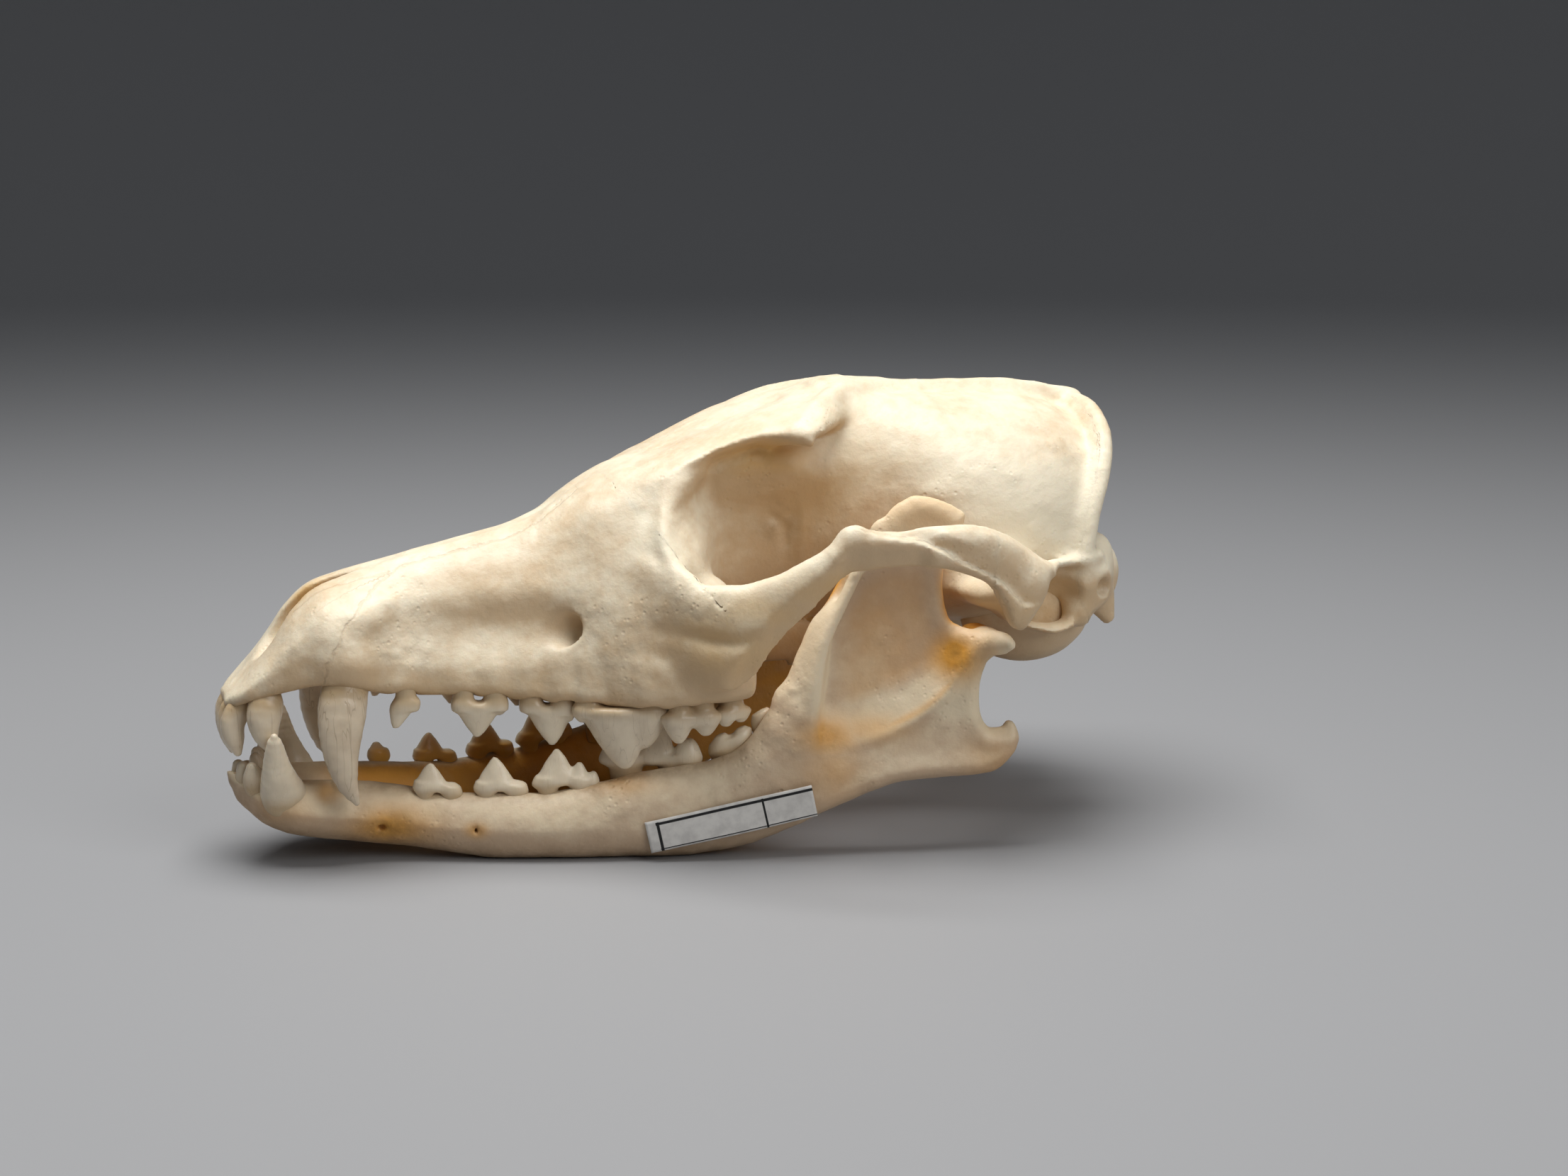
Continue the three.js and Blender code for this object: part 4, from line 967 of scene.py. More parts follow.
jawMiddle = curve((0.3, 2.8), (2.6, 3.5), (5, 4.3), (12, 5.3), (20, 5.6), (26, 6.6), (36, 10.4), (50, 15.2),
                  (65, 19.1), (80, 22.8), (94, 26.2), (106, 28.8), (124, 31.6))
jawThick = curve((0.3, 2), (2.6, 3.2), (5, 4.4), (12, 5.4), (20, 5.3), (26, 5), (36, 4.4), (50, 4.1),
                 (65, 4.1), (80, 3.6), (90, 2.6), (98, jaw["branchThick"]), (124, jaw["branchThick"]))
masseterLine = curve((88, 17.6), (92, 18.2), (96.3, 19), (101.7, 21.4), (107, 24), (111.6, 28.3),
                     (113.8, 32.4), (116, 36))


# Closed outline of a jaw half from the side: from the chin back along the lower edge, up behind, down the
# front of the branch and forward along the top.
def jawOutline():
    front = np.linspace(0.3, 91, 160)
    lower = np.stack([front, jawLow(front)], 1)
    up = np.linspace(7.2, 21.7, 50)
    hook = np.stack([branchBack(up), up], 1)
    behind = along(hingeEdge, 90)[1]
    down = np.linspace(59.3, 25, 60)
    forward = np.stack([branchFront(down), down], 1)
    back = np.linspace(84, 0.3, 150)
    upper = np.stack([back, jawTop(back)], 1)
    return np.concatenate([lower, hook[1:], behind[1:], forward[1:], upper[1:]])


# Depth below the outline at each point of a side grid, by the nearest span and an odd count of crossings.
def depthInside(x, z, outline):
    px, pz = x.ravel(), z.ravel()
    best = np.full(px.shape, 1e9)
    odd = np.zeros(px.shape, bool)
    for (ax, az), (bx, bz) in zip(outline, np.roll(outline, -1, 0)):
        dx, dz = bx - ax, bz - az
        t = np.clip(((px - ax) * dx + (pz - az) * dz) / (dx * dx + dz * dz + 1e-12), 0, 1)
        best = np.minimum(best, (px - ax - t * dx) ** 2 + (pz - az - t * dz) ** 2)
        if az != bz:
            odd ^= ((az > pz) != (bz > pz)) & (px < ax + (pz - az) * dx / dz)
    return (np.where(odd, 1, -1) * np.sqrt(best)).reshape(x.shape)


# Forms on a jaw half: box, field and softness
jawForms = {
    "frontRim": ((80, 18, 4), (106, 36, 60), rod(
        [(86.8, 26.0, 9), (88.2, 27.0, 17), (89.4, 27.5, 24), (91.0, 27.8, 34), (95.0, 27.7, 43),
         (101.0, 27.6, 54)],
        ((0, 0.9), (0.5, 1.2), (1, 0.7)), ((0, 2.0), (0.3, 1.2), (0.6, 1.0), (1, 0.8))), 1.4),
    "chewingRidge": ((86, 20, 12), (120, 38, 40), rod(
        [(95, 27.0, 18.4), (101.7, 29.1, 20.8), (107, 30.1, 23.6), (111.8, 31.0, 28.0), (114.5, 31.6, 32.4),
         (116.8, 31.8, 35)], ((0, 0.5), (0.4, 0.9), (1, 1.5)), ((0, 0.7), (0.6, 0.9), (1, 1.4))), 1.3),
    "hinge": ((110, 18, 28), (126, 41, 42), rod(
        [(118.3, 22.8, 35.4), (118.5, 30, 35.2), (119.4, 37.4, 36.0)],
        ((0, 1.4), (0.5, 2.4), (1, 1.4)), ((0, 1.1), (0.3, 2.1), (0.8, 1.9), (1, 1.0))), 1.6),
    "rearHook": ((112, 22, 12), (127, 38, 25), rod(
        [(114, 29.9, 15.6), (119.4, 30.6, 16.2), (121.9, 30.9, 18.4), (122.5, 30.9, 21.0)],
        ((0, 2.2), (0.7, 1.5), (1, 0.7)), ((0, 2), (0.6, 1.1), (1, 0.5))), 1.0),
    "frontSpur": ((84, 22, 25), (91, 30, 32), ball((87.3, 25.8, 28.2), (0.9, 0.9, 0.9)), 0.6),
}
jawPores = ((23.4, 7.0, 0.7), (37.6, 6.4, 0.45))  # nerve holes: x, z and radius
jawNerveHole = ((86, 18, 14), (104, 27, 30), ball((94.5, 22.6, 21.6), (2.4, 1.2, 1.3)), 0.8)
emptySocket = ((11, 3, 8), (20, 14, 18), ball((15.2, 9.4, 13.6), (0.9, 1.4, 1.8)), 0.4)


# Nerve hole in the outer side of the jaw.
def jawPore(x, z, size):
    out = jawMiddle(np.array(x)) + jawThick(np.array(x))
    return ((x - 4, out - 5, z - 3), (x + 4, out + 3, z + 3),
            ball((x, out - 0.4, z), (size, 2, size * 0.75)), 0.5)


# One jaw half with s outwards: a rounded plate over the outline, ridges, hinge, and the chewing muscle's
# hollow.
def buildJaw(socket):
    block = Block((-1.5, -0.6, -0.5), (127, 41, 62), grid["jaw"])
    x, s, z = np.ix_(*block.axes)
    depth = depthInside(*np.meshgrid(block.axes[0], block.axes[2], indexing="ij"), jawOutline())[:, None, :]
    branch = ramp(x, 80, 96)
    rounding = jaw["bodyRound"] + (jaw["branchRound"] - jaw["bodyRound"]) * branch
    behindRim = ramp(x - 89.4 - 0.12 * (z - 20), 0, 3)
    hollow = ramp(z - masseterLine(x), -0.5, 8) * behindRim * (1 - ramp(z, 44, 56))
    middle = jawMiddle(x) - jaw["fossa"] * hollow
    rims = 0.9 * np.exp(-((z - 14) / 5) ** 2) + 0.5 * np.exp(-((depth - 1.5) / 2) ** 2)
    thick = jawThick(x) + branch * rims - 0.35 * hollow - 0.5 * branch * ramp(z, 44, 58)
    level = 1 - np.minimum(depth / rounding, 1)
    block.value = (np.sqrt(((s - middle) / thick) ** 2 + level ** 2) - 1) * thick
    for form in jawForms.values():
        block.add(*form)
    for pore in jawPores:
        block.carve(*jawPore(*pore))
    block.carve(*jawNerveHole)
    if socket:
        block.carve(*emptySocket)
    bounds = np.maximum(jaw["midGap"] - s, place["table"] - z)
    block.value = np.maximum(block.value, bounds)
    unevenness(block, 6.0, 0.14, 5)
    unevenness(block, 2.4, 0.06, 6)
    block.value = np.maximum(block.value, bounds)
    return block


# Marks for a jaw half: amber inside, painted glow of light through the thin bone; amber in the hollow's
# corners and round the tooth sockets, partly stains and partly painted shade; a painted shadow line above the
# chewing ridge; stains at the nerve holes; painted shade along the lower border; paler in the hollow.
jawAmber = [((113.2, 31, 33.2), (4.6, 5, 3.6), 1.2), ((92.6, 27, 20.8), (4.6, 5, 3.0), 0.9),
            ((99, 29, 21.6), (6.5, 5, 2.4), 0.5), ((92.8, 28, 15.4), (5, 5, 4.6), 0.35),
            ((119, 31, 16), (5, 4, 4), 0.4), ((15.2, 10, 13.4), (1.8, 4, 1.6), 0.9),
            ((8, 8, 11), (6, 5, 3), 0.25), ((60, 19, 13.6), (6, 5, 1.6), 0.4),
            ((24.6, 12, 7.0), (6.0, 6, 3.6), 0.95), ((37.6, 15, 6.5), (1.7, 4, 1.2), 0.7),
            ((108, 29, 57), (9, 5, 6), 0.3)]
jawStain = [((24.2, 11.5, 6.8), (4.8, 6, 2.7), 0.5), ((26.6, 12, 6.7), (2.0, 5, 1.8), 0.3),
            ((114.2, 31, 32.8), (3.2, 5, 2.8), 0.4), ((91.6, 28, 20.2), (3.6, 5, 2.0), 0.4),
            ((37.6, 15, 6.5), (1.0, 3, 0.8), 0.6), ((5, 7, 9.6), (2.4, 3, 1.4), 0.35),
            ((120, 31, 15.4), (5, 5, 3), 0.25)]


def jawMarks(points):
    x, s, z = points[:, 0], points[:, 1], points[:, 2]
    outer = ramp(s - jawMiddle(x), -0.5, 0.8)
    # Painted glow: amber on the inner side, for light coming through the thin bone.
    inner = ramp(jawMiddle(x) - s, 0.2, 2.2) * ramp(x, 8, 22)
    edge = 0.4 * np.exp(-((z - jawTop(x)) / 1.1) ** 2) * (x > 16) * (x < 80)
    # Painted shadow line: amber just above the chewing muscle's ridge, on the outer side.
    line = np.exp(-((z - masseterLine(x) - 0.6) / 0.7) ** 2) * ramp(x, 98, 103)
    line = line * (1 - ramp(x, 113, 117)) * outer
    # Painted shade: stain colour along the lower border, darker towards the bottom.
    low = 0.42 * np.exp(-((z - jawLow(x)) / 2.8) ** 2) * (1 - ramp(x, 74, 84))
    return {"amber": np.maximum(np.maximum(spots(points, jawAmber), inner), 0.45 * line),
            "stain": np.maximum(np.maximum(spots(points, jawStain) * outer, edge), low),
            "pale": ramp(z, 18, 28) * ramp(x, 86, 93) * outer, "seam": np.full(len(x), 9.0)}


# Both halves; the left one has the empty socket, and the right one lies a little further back.
def buildJaws():
    for name, node, side, slip in (("jawLeft", "mandible_left", -1, 0.0),
                                   ("jawRight", "mandible_right", 1, place["rightJawSlip"])):
        points, quads = meshOf(buildJaw(side < 0))
        moved, faces = toSide(points, quads, side, slip)
        piece(name, moved, faces, jawBone, "jaw_bone", [node], jawMarks(points))


buildJaws()


# Tooth of cusps on roots, in its own frame: u along the row, v outwards, w from the neck to the tip.
# A cusp is an oval cone, bulged by its blunt power and drawn in at the neck; its field is the scaled distance
# from its axis less the share of its width that is left at that height.
def crownField(tooth, way):
    turn, pitch = tooth["turn"], tooth.get("pitch", 0.0)

    def field(x, s, z):
        dx, ds, rise = x - tooth["x"], s - tooth["s"], way * (z - tooth["neck"])
        u = dx * np.cos(turn) + ds * np.sin(turn)
        v = ds * np.cos(turn) - dx * np.sin(turn)
        w = rise - pitch * u
        arch = tooth.get("arch", 0.0) * np.exp(-(u / 1.6) ** 2)
        crown = None
        for cu, cv, tall, long, wide, lean, blunt in tooth["cusps"]:
            share = np.clip(1 - w / tall, 0, 1) ** blunt * (1 - 0.22 * np.clip(1 - w / 1.8, 0, 1) ** 2)
            r = np.sqrt(((u - cu - lean * w) / long) ** 2 + ((v - cv) / wide) ** 2)
            cusp = np.maximum((r - share) * min(long, wide), w - tall + 0.2)
            crown = cusp if crown is None else blend(crown, cusp, 0.8)
        crown = overlap(crown, arch - w, 0.9)
        for cu, cv, long, wide in tooth["roots"]:
            share = 1 - 0.05 * np.clip(-w, 0, 6)
            r = np.sqrt(((u - cu) / long) ** 2 + ((v - cv) / wide) ** 2)
            root = np.maximum((r - share) * min(long, wide), np.maximum(w - 1.6, -w - 4))
            crown = blend(crown, root, 0.8)
        return crown
    return field


# Cheek teeth. A cusp: place along and across, height, half length, half width, lean and blunt power.
# A root: place along and across, half length and half width.
# A dull value greys the enamel: worn enamel, and painted shade on the back cheek teeth.
upperTeeth = [
    {"x": 27.6, "s": 11.4, "turn": 0.05, "neck": 27.9,
     "cusps": [(-0.2, 0, 4.8, 2.4, 1.5, -0.34, 0.6), (1.3, 0, 2.2, 1.2, 1.3, 0, 0.5)],
     "roots": [(0, 0, 1.7, 1.3)]},
    {"x": 39.2, "s": 11.8, "turn": 0.12, "neck": 27.1, "pitch": 0.03, "arch": 0.3,
     "cusps": [(-0.2, 0, 6.4, 4.4, 2.1, -0.04, 0.76), (-3.4, 0, 2.0, 1.1, 1.5, 0, 0.5),
               (3.3, 0, 2.6, 1.4, 1.6, 0, 0.5)],
     "roots": [(-2.5, 0, 1.7, 1.5), (2.5, 0, 1.9, 1.6)]},
    {"x": 49.8, "s": 13.6, "turn": 0.26, "neck": 26.3, "pitch": 0.06, "arch": 0.3,
     "cusps": [(0.1, 0, 7.3, 4.4, 2.2, 0.08, 0.72), (-3.4, 0, 1.9, 1.2, 1.5, 0, 0.5),
               (3.6, 0, 2.9, 1.2, 1.6, 0, 0.5)],
     "roots": [(-2.5, 0, 1.8, 1.6), (2.5, 0, 1.9, 1.7)]},
    {"x": 60.4, "s": 18.8, "turn": 0.36, "neck": 26.2, "dullAndShade": 0.35,
     "cusps": [(-1.0, 0.2, 10.6, 6.0, 2.8, 0.17, 0.58), (3.9, 0.1, 7.0, 4.3, 2.4, 0, 0.5),
               (-0.2, 0.3, 2.3, 7.2, 3.2, 0, 0.3), (-6.2, 0.2, 2.8, 1.6, 2.0, 0, 0.5),
               (-4.8, -2.2, 3.0, 1.9, 1.8, 0, 0.5)],
     "roots": [(-5, 0, 2.2, 1.7), (4.6, 0, 2.8, 1.7)]},
    {"x": 71.2, "s": 22.4, "turn": 0.1, "neck": 25.3, "dullAndShade": 0.3,
     "cusps": [(-2.4, 0.9, 5.2, 3.1, 2.4, 0.04, 0.55), (2.2, 0.7, 4.2, 3.1, 2.3, 0, 0.55),
               (0.2, -5, 3.0, 2.8, 3.4, 0, 0.45), (-0.2, -2.4, 2.4, 3.6, 3.2, 0, 0.4),
               (-0.1, 0.7, 2.5, 5.0, 2.3, 0, 0.35)],
     "roots": [(-1.9, 0.6, 1.8, 1.7), (1.9, 0.4, 1.8, 1.7), (0.2, -5, 1.9, 2.1)]},
    {"x": 78.0, "s": 20.6, "turn": -0.1, "neck": 25.3,
     "cusps": [(-1.2, 1.6, 3.2, 2.3, 2.2, 0, 0.5), (1.5, 1.3, 2.8, 2.1, 2.0, 0, 0.5),
               (0.1, -2, 2.0, 2.4, 2.8, 0, 0.45), (0, 1.3, 1.8, 3.4, 2.2, 0, 0.35)],
     "roots": [(0, 1.2, 2.0, 1.8), (0, -2, 1.8, 1.8)]},
]
lowerTeeth = [
    {"x": 22.8, "s": 8.4, "turn": 0.2, "neck": 13.2,
     "cusps": [(-0.2, 0, 3.3, 2.1, 1.4, -0.08, 0.6), (1.1, 0, 1.6, 1.1, 1.2, 0, 0.5)],
     "roots": [(0, 0, 1.5, 1.2)]},
    {"x": 32.3, "s": 10.0, "turn": 0.2, "neck": 11.7, "pitch": -0.16, "arch": 0.4,
     "cusps": [(-0.7, 0, 5.2, 3.4, 1.8, -0.03, 0.72), (2.6, 0, 2.4, 1.9, 1.5, 0, 0.55),
               (-2.8, 0, 1.3, 1.2, 1.2, 0, 0.6)],
     "roots": [(-1.9, 0, 1.4, 1.2), (2.2, 0, 1.4, 1.2)]},
    {"x": 42.1, "s": 12.4, "turn": 0.24, "neck": 11.6, "pitch": -0.08, "arch": 0.4,
     "cusps": [(-0.5, 0, 6.1, 3.9, 1.9, -0.03, 0.74), (3.1, 0, 2.4, 1.9, 1.5, 0, 0.55),
               (-3.3, 0, 1.4, 1.3, 1.3, 0, 0.6)],
     "roots": [(-2.2, 0, 1.5, 1.3), (2.4, 0, 1.6, 1.3)]},
    {"x": 52.0, "s": 15.0, "turn": 0.27, "neck": 12.4, "arch": 0.4,
     "cusps": [(-1.2, 0, 6.6, 3.9, 2.0, 0.02, 0.74), (2.5, 0, 4.3, 1.9, 1.7, 0, 0.55),
               (4.7, 0, 2.8, 1.3, 1.5, 0, 0.5), (-4.2, 0, 1.8, 1.3, 1.4, 0, 0.55)],
     "roots": [(-2.6, 0, 1.7, 1.4), (2.7, 0, 1.8, 1.4)]},
    {"x": 66.0, "s": 16.3, "turn": 0.24, "neck": 15.4, "dullAndShade": 0.25,
     "cusps": [(-5.0, 0, 6.4, 4.0, 2.3, 0.05, 0.6), (0.6, 0, 8.0, 3.8, 2.4, 0.1, 0.66),
               (6.0, 0.9, 4.6, 2.8, 2.2, 0, 0.42), (5.0, -1.3, 3.0, 2.2, 1.8, 0, 0.45),
               (2.4, -1.6, 4.6, 1.5, 1.4, 0, 0.6)],
     "roots": [(-4, 0, 2.8, 2.0), (4, 0, 2.8, 2.0)]},
    {"x": 78.4, "s": 19.8, "turn": 0.25, "neck": 18.3, "pitch": 0.42,
     "cusps": [(-1.6, 0.6, 3.0, 2.3, 2.0, 0, 0.45), (1.7, 0.5, 2.7, 2.2, 1.9, 0, 0.45),
               (-1.3, -1.1, 2.2, 1.8, 1.6, 0, 0.5)],
     "roots": [(0, 0, 3.2, 2.0)]},
    {"x": 83.2, "s": 21.0, "turn": 0.25, "neck": 22.4, "pitch": 0.5, "cusps": [(0, 0, 1.7, 1.8, 1.6, 0, 0.5)],
     "roots": [(0, 0, 1.4, 1.3)]},
]
# Front teeth as tapering rods from root to tip: path, half widths across and along, and the neck's height.
upperFront = [
    {"path": [(5.2, 1.9, 31.2), (2.2, 1.9, 27.6), (0.8, 1.95, 23.6), (1.3, 2.0, 19.7)],
     "neck": 26.4, "dullAndShade": 0.5,
     "wide": ((0, 0.7), (0.3, 1.1), (0.5, 1.5), (0.85, 1.5), (1, 1.0)),
     "deep": ((0, 0.8), (0.3, 1.2), (0.5, 1.8), (0.8, 1.5), (1, 0.7))},
    {"path": [(6.2, 4.4, 31.6), (3.2, 4.7, 27.9), (1.2, 5.0, 23.8), (1.8, 5.2, 19.9)],
     "neck": 26.8, "dullAndShade": 0.5,
     "wide": ((0, 0.7), (0.3, 1.1), (0.5, 1.6), (0.85, 1.5), (1, 0.9)),
     "deep": ((0, 0.8), (0.3, 1.2), (0.5, 2.0), (0.8, 1.7), (1, 0.7))},
    {"path": [(8.2, 6.0, 33), (6.8, 7.0, 29), (5.8, 8.0, 25.2), (6.4, 8.4, 20.8)], "neck": 27.8, "dullAndShade": 0.45,
     "wide": ((0, 0.8), (0.3, 1.2), (0.5, 2.0), (0.8, 1.6), (1, 0.7)),
     "deep": ((0, 1.0), (0.3, 1.8), (0.5, 2.8), (0.8, 2.0), (1, 0.6))},
    {"path": [(20.4, 9.6, 38), (18.5, 11.1, 31.4), (17.3, 12.7, 26), (16.9, 13.6, 21), (17.4, 14.0, 16.6),
              (19.0, 14.2, 12.5)], "neck": 30.0, "dullAndShade": 0.75,
     "wide": ((0, 1.5), (0.25, 2.0), (0.42, 2.5), (0.7, 2.0), (0.92, 1.1), (1, 0.5)),
     "deep": ((0, 2.4), (0.25, 3.5), (0.42, 3.8), (0.7, 2.7), (0.9, 1.5), (1, 0.5))},
]
lowerFront = [
    {"path": [(4.4, 1.6, 11), (2.7, 1.65, 14.2), (2.1, 1.75, 16.9)], "neck": 14.4, "dullAndShade": 0.35,
     "wide": ((0, 0.8), (0.6, 1.2), (1, 0.9)), "deep": ((0, 1.1), (0.6, 1.7), (1, 0.9))},
    {"path": [(5.0, 3.7, 11), (3.3, 3.9, 14.2), (2.6, 4.15, 17.2)], "neck": 14.4, "dullAndShade": 0.35,
     "wide": ((0, 0.9), (0.6, 1.4), (1, 1.0)), "deep": ((0, 1.2), (0.6, 1.8), (1, 0.9))},
    {"path": [(6.2, 5.4, 11), (4.5, 5.9, 14.4), (3.8, 6.5, 17.5)], "neck": 14.6, "dullAndShade": 0.35,
     "wide": ((0, 0.9), (0.6, 1.5), (1, 1.0)), "deep": ((0, 1.3), (0.6, 2.0), (1, 0.9))},
    {"path": [(12.4, 5.2, 7.4), (8.8, 7.3, 12), (7.5, 9.2, 17), (7.1, 10.5, 21), (7.0, 11.3, 23.4)],
     "neck": 12.0,
     "wide": ((0, 0.9), (0.25, 1.6), (0.4, 2.3), (0.55, 2.4), (0.75, 1.8), (0.93, 1.1), (1, 0.6)),
     "deep": ((0, 1.3), (0.25, 2.7), (0.38, 3.6), (0.55, 2.9), (0.7, 2.2), (0.85, 1.6), (0.95, 1.1),
              (1, 0.6))},
]
# Painted reflection: amber on the teeth's inner sides for warm light thrown back from the jaw.
toothReflectedAmber = {1: 0.9, -1: 0.4}  # on the inner side of the lower and upper cheek teeth


# Form of a cheek tooth: its box holds every cusp, turned, and the roots below the neck.
def cheekTooth(tooth, way):
    long = max(abs(c[0]) + c[3] for c in tooth["cusps"]) + 1.5
    across = max(abs(c[1]) + c[4] for c in tooth["cusps"]) + 2.0 + 0.35 * long
    tall = max(c[2] for c in tooth["cusps"]) + 1.6
    low, high = sorted((tooth["neck"] - way * 5.5, tooth["neck"] + way * tall))
    return (crownField(tooth, way), (tooth["x"] - long, tooth["s"] - across, low),
            (tooth["x"] + long, tooth["s"] + across, high))


# Form of a front tooth: its box is the path's, wider by the tooth's depth.
def frontTooth(tooth):
    path = np.array(tooth["path"])
    size = max(v for _, v in tooth["deep"]) + 1
    return rod(path, tooth["wide"], tooth["deep"], 16), path.min(0) - size, path.max(0) + size


# Marks for a tooth: height above the neck, how dull it is (worn enamel, and painted shade on the back cheek
# teeth), and painted warm reflected light as amber on the inner side of a cheek tooth.
def toothMarks(tooth, points, way):
    amber = np.zeros(len(points))
    if "turn" in tooth:
        aside = (points[:, 0] - tooth["x"]) * np.sin(tooth["turn"])
        inwards = (tooth["s"] - points[:, 1]) * np.cos(tooth["turn"]) + aside
        amber = toothReflectedAmber[way] * ramp(inwards, -0.2, 1.4)
    return {"crown": way * (points[:, 2] - tooth["neck"]),
            "dullAndShade": np.full(len(points), tooth.get("dullAndShade", 0.0)), "amber": amber}


# All teeth of one row with s outwards, joined in one list of vertices, quads and marks.
def buildRow(cheekTeeth, frontTeeth, way, skip):
    row = [(tooth, cheekTooth(tooth, way)) for number, tooth in enumerate(cheekTeeth) if number != skip]
    row += [(tooth, frontTooth(tooth)) for tooth in frontTeeth]
    allPoints, allQuads, allMarks, start = [], [], [], 0
    for tooth, (field, low, high) in row:
        block = Block(low, high, grid["tooth"])
        block.value = field(*np.ix_(*block.axes))
        unevenness(block, 2.2, 0.07, 8)
        points, quads = meshOf(block, rounds=1)
        allPoints.append(points)
        allQuads.append(quads + start)
        allMarks.append(toothMarks(tooth, points, way))
        start += len(points)
    marks = {name: np.concatenate([m[name] for m in allMarks]) for name in allMarks[0]}
    return np.concatenate(allPoints), np.concatenate(allQuads), marks


# The four rows; the left lower one lacks its first cheek tooth.
def buildTeeth():
    slip = place["rightJawSlip"]
    rows = (("teethUpperLeft", upperTeeth, upperFront, -1, -1, 0.0, None, "rostrum", "bone"),
            ("teethUpperRight", upperTeeth, upperFront, -1, 1, 0.0, None, "rostrum", "bone"),
            ("teethLowerLeft", lowerTeeth, lowerFront, 1, -1, 0.0, 0, "mandible_left", "jaw_bone"),
            ("teethLowerRight", lowerTeeth, lowerFront, 1, 1, slip, None, "mandible_right", "jaw_bone"))
    for name, cheekTeeth, frontTeeth, way, side, back, skip, node, slotName in rows:
        points, quads, marks = buildRow(cheekTeeth, frontTeeth, way, skip)
        moved, faces = toSide(points, quads, side, back)
        piece(name, moved, faces, enamel, slotName, [node], marks)


buildTeeth()

# Paper label on the left jaw half: a thin strip bent to the jaw, given by its length and height shares.
# The jaw's side passes through jawAt, a pair of x and s, with jawSlope.
label = {"length": 27.2, "height": 5.2, "thick": 0.3, "rise": 0.212, "x": 76.6, "z": 8.0, "out": 4.35,
         "bend": 0.15, "curl": 0.12, "jawAt": (80, 22.8), "jawSlope": 0.245}


def buildLabel():
    u, v = np.meshgrid(np.linspace(0, 1, 61), np.linspace(0, 1, 13), indexing="ij")
    run = (u - 0.5) * label["length"]
    up = (v - 0.5) * label["height"]
    lean = np.arctan(label["rise"])
    x = label["x"] + (run * np.cos(lean) - up * np.sin(lean)) * np.cos(np.arctan(label["jawSlope"]))
    z = label["z"] + run * np.sin(lean) + up * np.cos(lean)
    jawSide = label["jawAt"][1] + (x - label["jawAt"][0]) * label["jawSlope"]
    curl = label["curl"] * np.sin(7 * u + 1) * (2 * v - 1)
    side = jawSide + label["out"] - label["bend"] * (2 * u - 1) ** 2 + curl
    points = np.concatenate([np.stack([x, -side - k * label["thick"], z], -1).reshape(-1, 3) for k in (0, 1)])
    index = np.arange(u.size).reshape(u.shape)
    front = np.stack([index[:-1, :-1], index[1:, :-1], index[1:, 1:], index[:-1, 1:]], -1)
    front = front.reshape(-1, 4) + u.size
    rim = np.concatenate([index[:, 0], index[-1, 1:], index[-2::-1, -1], index[0, -2:0:-1]])
    nextRim = np.roll(rim, -1)
    edge = np.stack([rim, nextRim, nextRim + u.size, rim + u.size], 1)
    quads = np.concatenate([front, front[:, ::-1] - u.size, edge])
    made = piece("paperLabel", points, quads, labelPaper, "paper", ["label"], {})
    layer = made.data.uv_layers.new(name="label")
    uv = np.tile(np.stack([u.ravel(), v.ravel()], 1), (2, 1))
    layer.data.foreach_set("uv", uv[quads.ravel()].ravel())


buildLabel()

# Room in metres: a pale round sheet that bends up far from the skull, and soft light from a panel above with
# a weak fill. A lamp has its place, its aim, its size and its power.
room = {"floor": (0.30, 0.30, 0.305), "world": (0.80, 0.84, 0.90), "worldPower": 0.24, "bendAt": 1.3,
        "bendRadius": 1.0, "wall": 1.2}
lamps = {"topLight": ((-0.05, 0.02, 0.62), (0, 0, 0.04), 0.42, 5.0),
         "fillLight": ((0.34, -0.62, 0.48), (0.02, 0, 0.04), 0.5, 2.4)}


# Puts a lamp or camera into the scene, turned towards its target.
def aimed(name, data, at, target):
    made = bpy.data.objects.new(name, data)
    made.location = at
    made.rotation_euler = (Vector(target) - Vector(at)).to_track_quat("-Z", "Y").to_euler()
    bpy.context.scene.collection.objects.link(made)
    return made


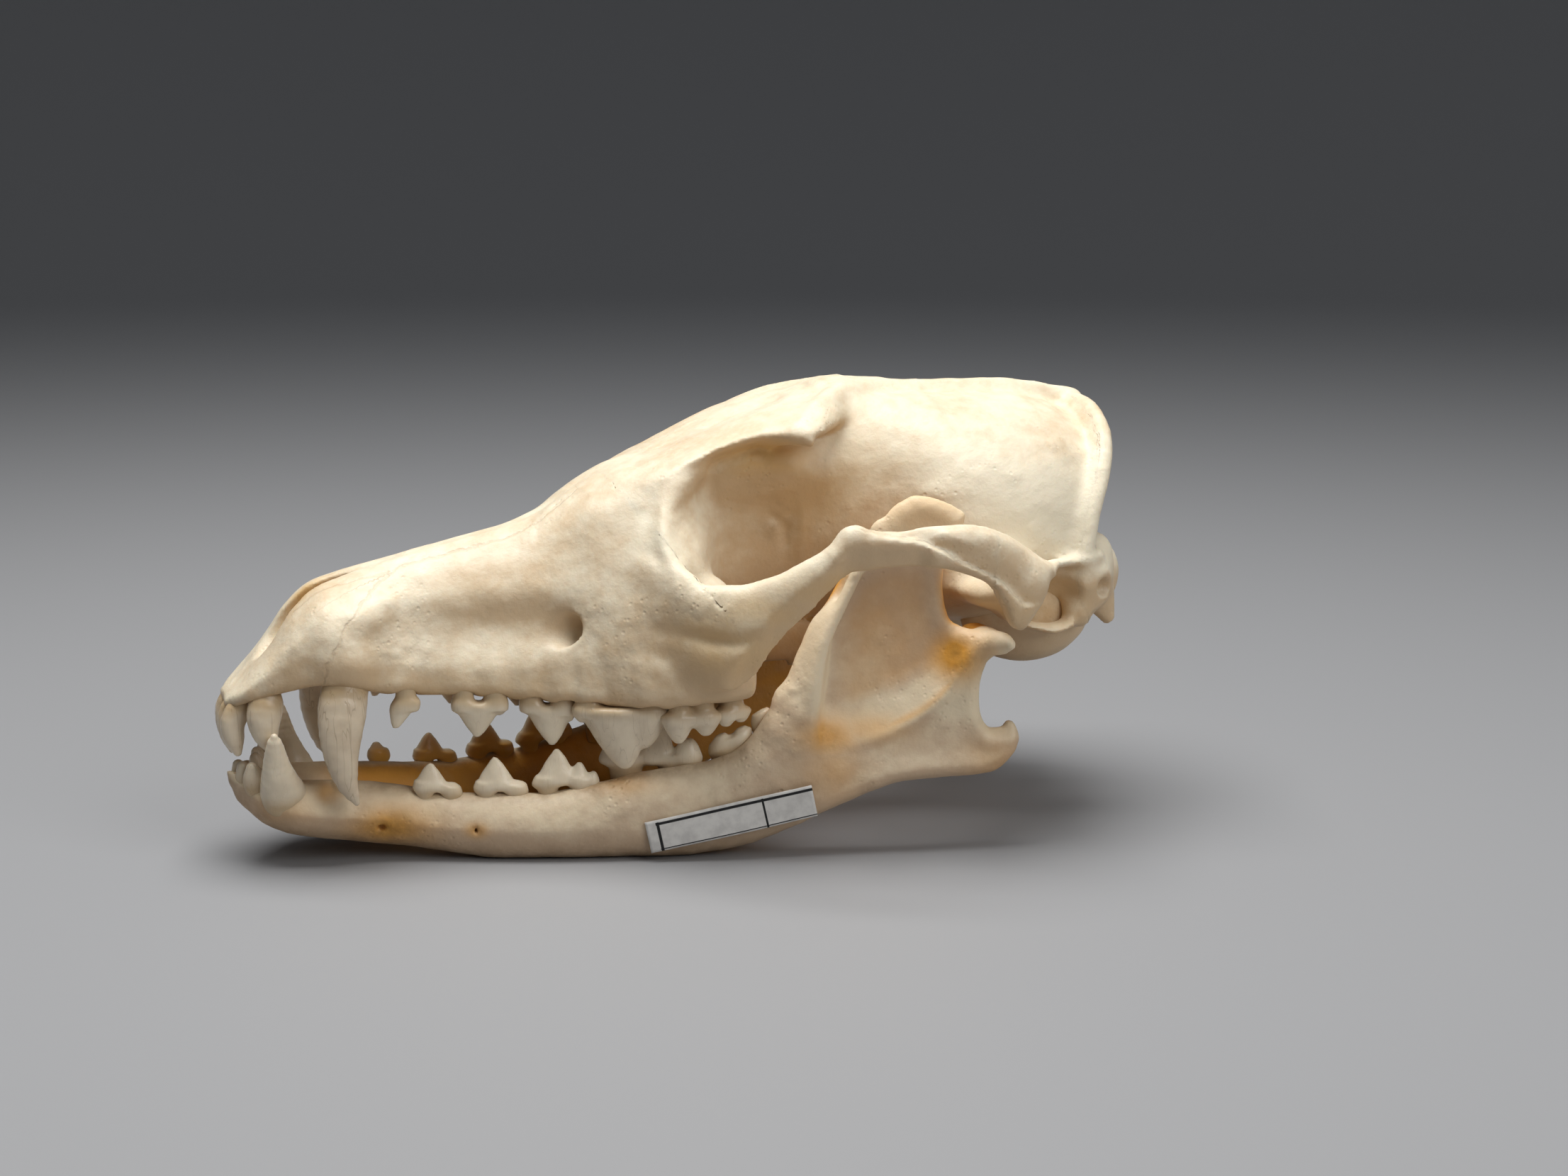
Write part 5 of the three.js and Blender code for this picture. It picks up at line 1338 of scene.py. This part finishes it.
# The sheet's profile is a level run, a quarter circle and a wall, turned about the middle.
def buildFloor():
    bendAt, radius = room["bendAt"], room["bendRadius"]
    quarter = radius * np.pi / 2
    run, angle = np.meshgrid(np.linspace(0, bendAt + quarter + room["wall"], 50)[1:],
                             np.linspace(0, 2 * np.pi, 65)[:-1], indexing="ij")
    turn = np.clip((run - bendAt) / radius, 0, np.pi / 2)
    out = np.minimum(run, bendAt) + radius * np.sin(turn)
    z = radius * (1 - np.cos(turn)) + np.maximum(run - bendAt - quarter, 0)
    points = np.stack([out * np.cos(angle), out * np.sin(angle), z], -1).reshape(-1, 3)
    index = np.arange(run.size).reshape(run.shape)
    beside = np.roll(index, -1, 1)
    quads = np.stack([index[:-1], index[1:], beside[1:], beside[:-1]], -1).reshape(-1, 4)
    mesh = bpy.data.meshes.new("floorSheet")
    mesh.from_pydata(points.tolist(), [], quads.tolist() + [index[0].tolist()])
    mesh.shade_smooth()
    floor = bpy.data.objects.new("floorSheet", mesh)
    bpy.context.scene.collection.objects.link(floor)
    material, _, shader = newMaterial("floorPaper", 0.6)
    shader.inputs["Base Color"].default_value = (*room["floor"], 1)
    mesh.materials.append(material)


def buildLight():
    world = bpy.data.worlds.new("studio")
    world.use_nodes = True
    background = world.node_tree.nodes["Background"]
    background.inputs[0].default_value = (*room["world"], 1)
    background.inputs[1].default_value = room["worldPower"]
    bpy.context.scene.world = world
    bpy.context.scene.view_settings.view_transform = "Standard"
    for name, (at, target, size, power) in lamps.items():
        lamp = bpy.data.lights.new(name, "AREA")
        lamp.size = size
        lamp.energy = power
        aimed(name, lamp, at, target)


# Camera from the drawing: the focal length in pixels becomes millimetres on the sensor's width.
def buildCamera():
    lens = bpy.data.cameras.new("photoCamera")
    lens.sensor_width = camera["sensor"]
    lens.lens = camera["focalPixels"] * camera["sensor"] / camera["imageWidth"]
    lens.clip_start = 0.01
    bpy.context.scene.camera = aimed("photoCamera", lens, toRow(camera["at"]), toRow(camera["target"]))


buildFloor()
buildLight()
buildCamera()
print("room, light and camera made")
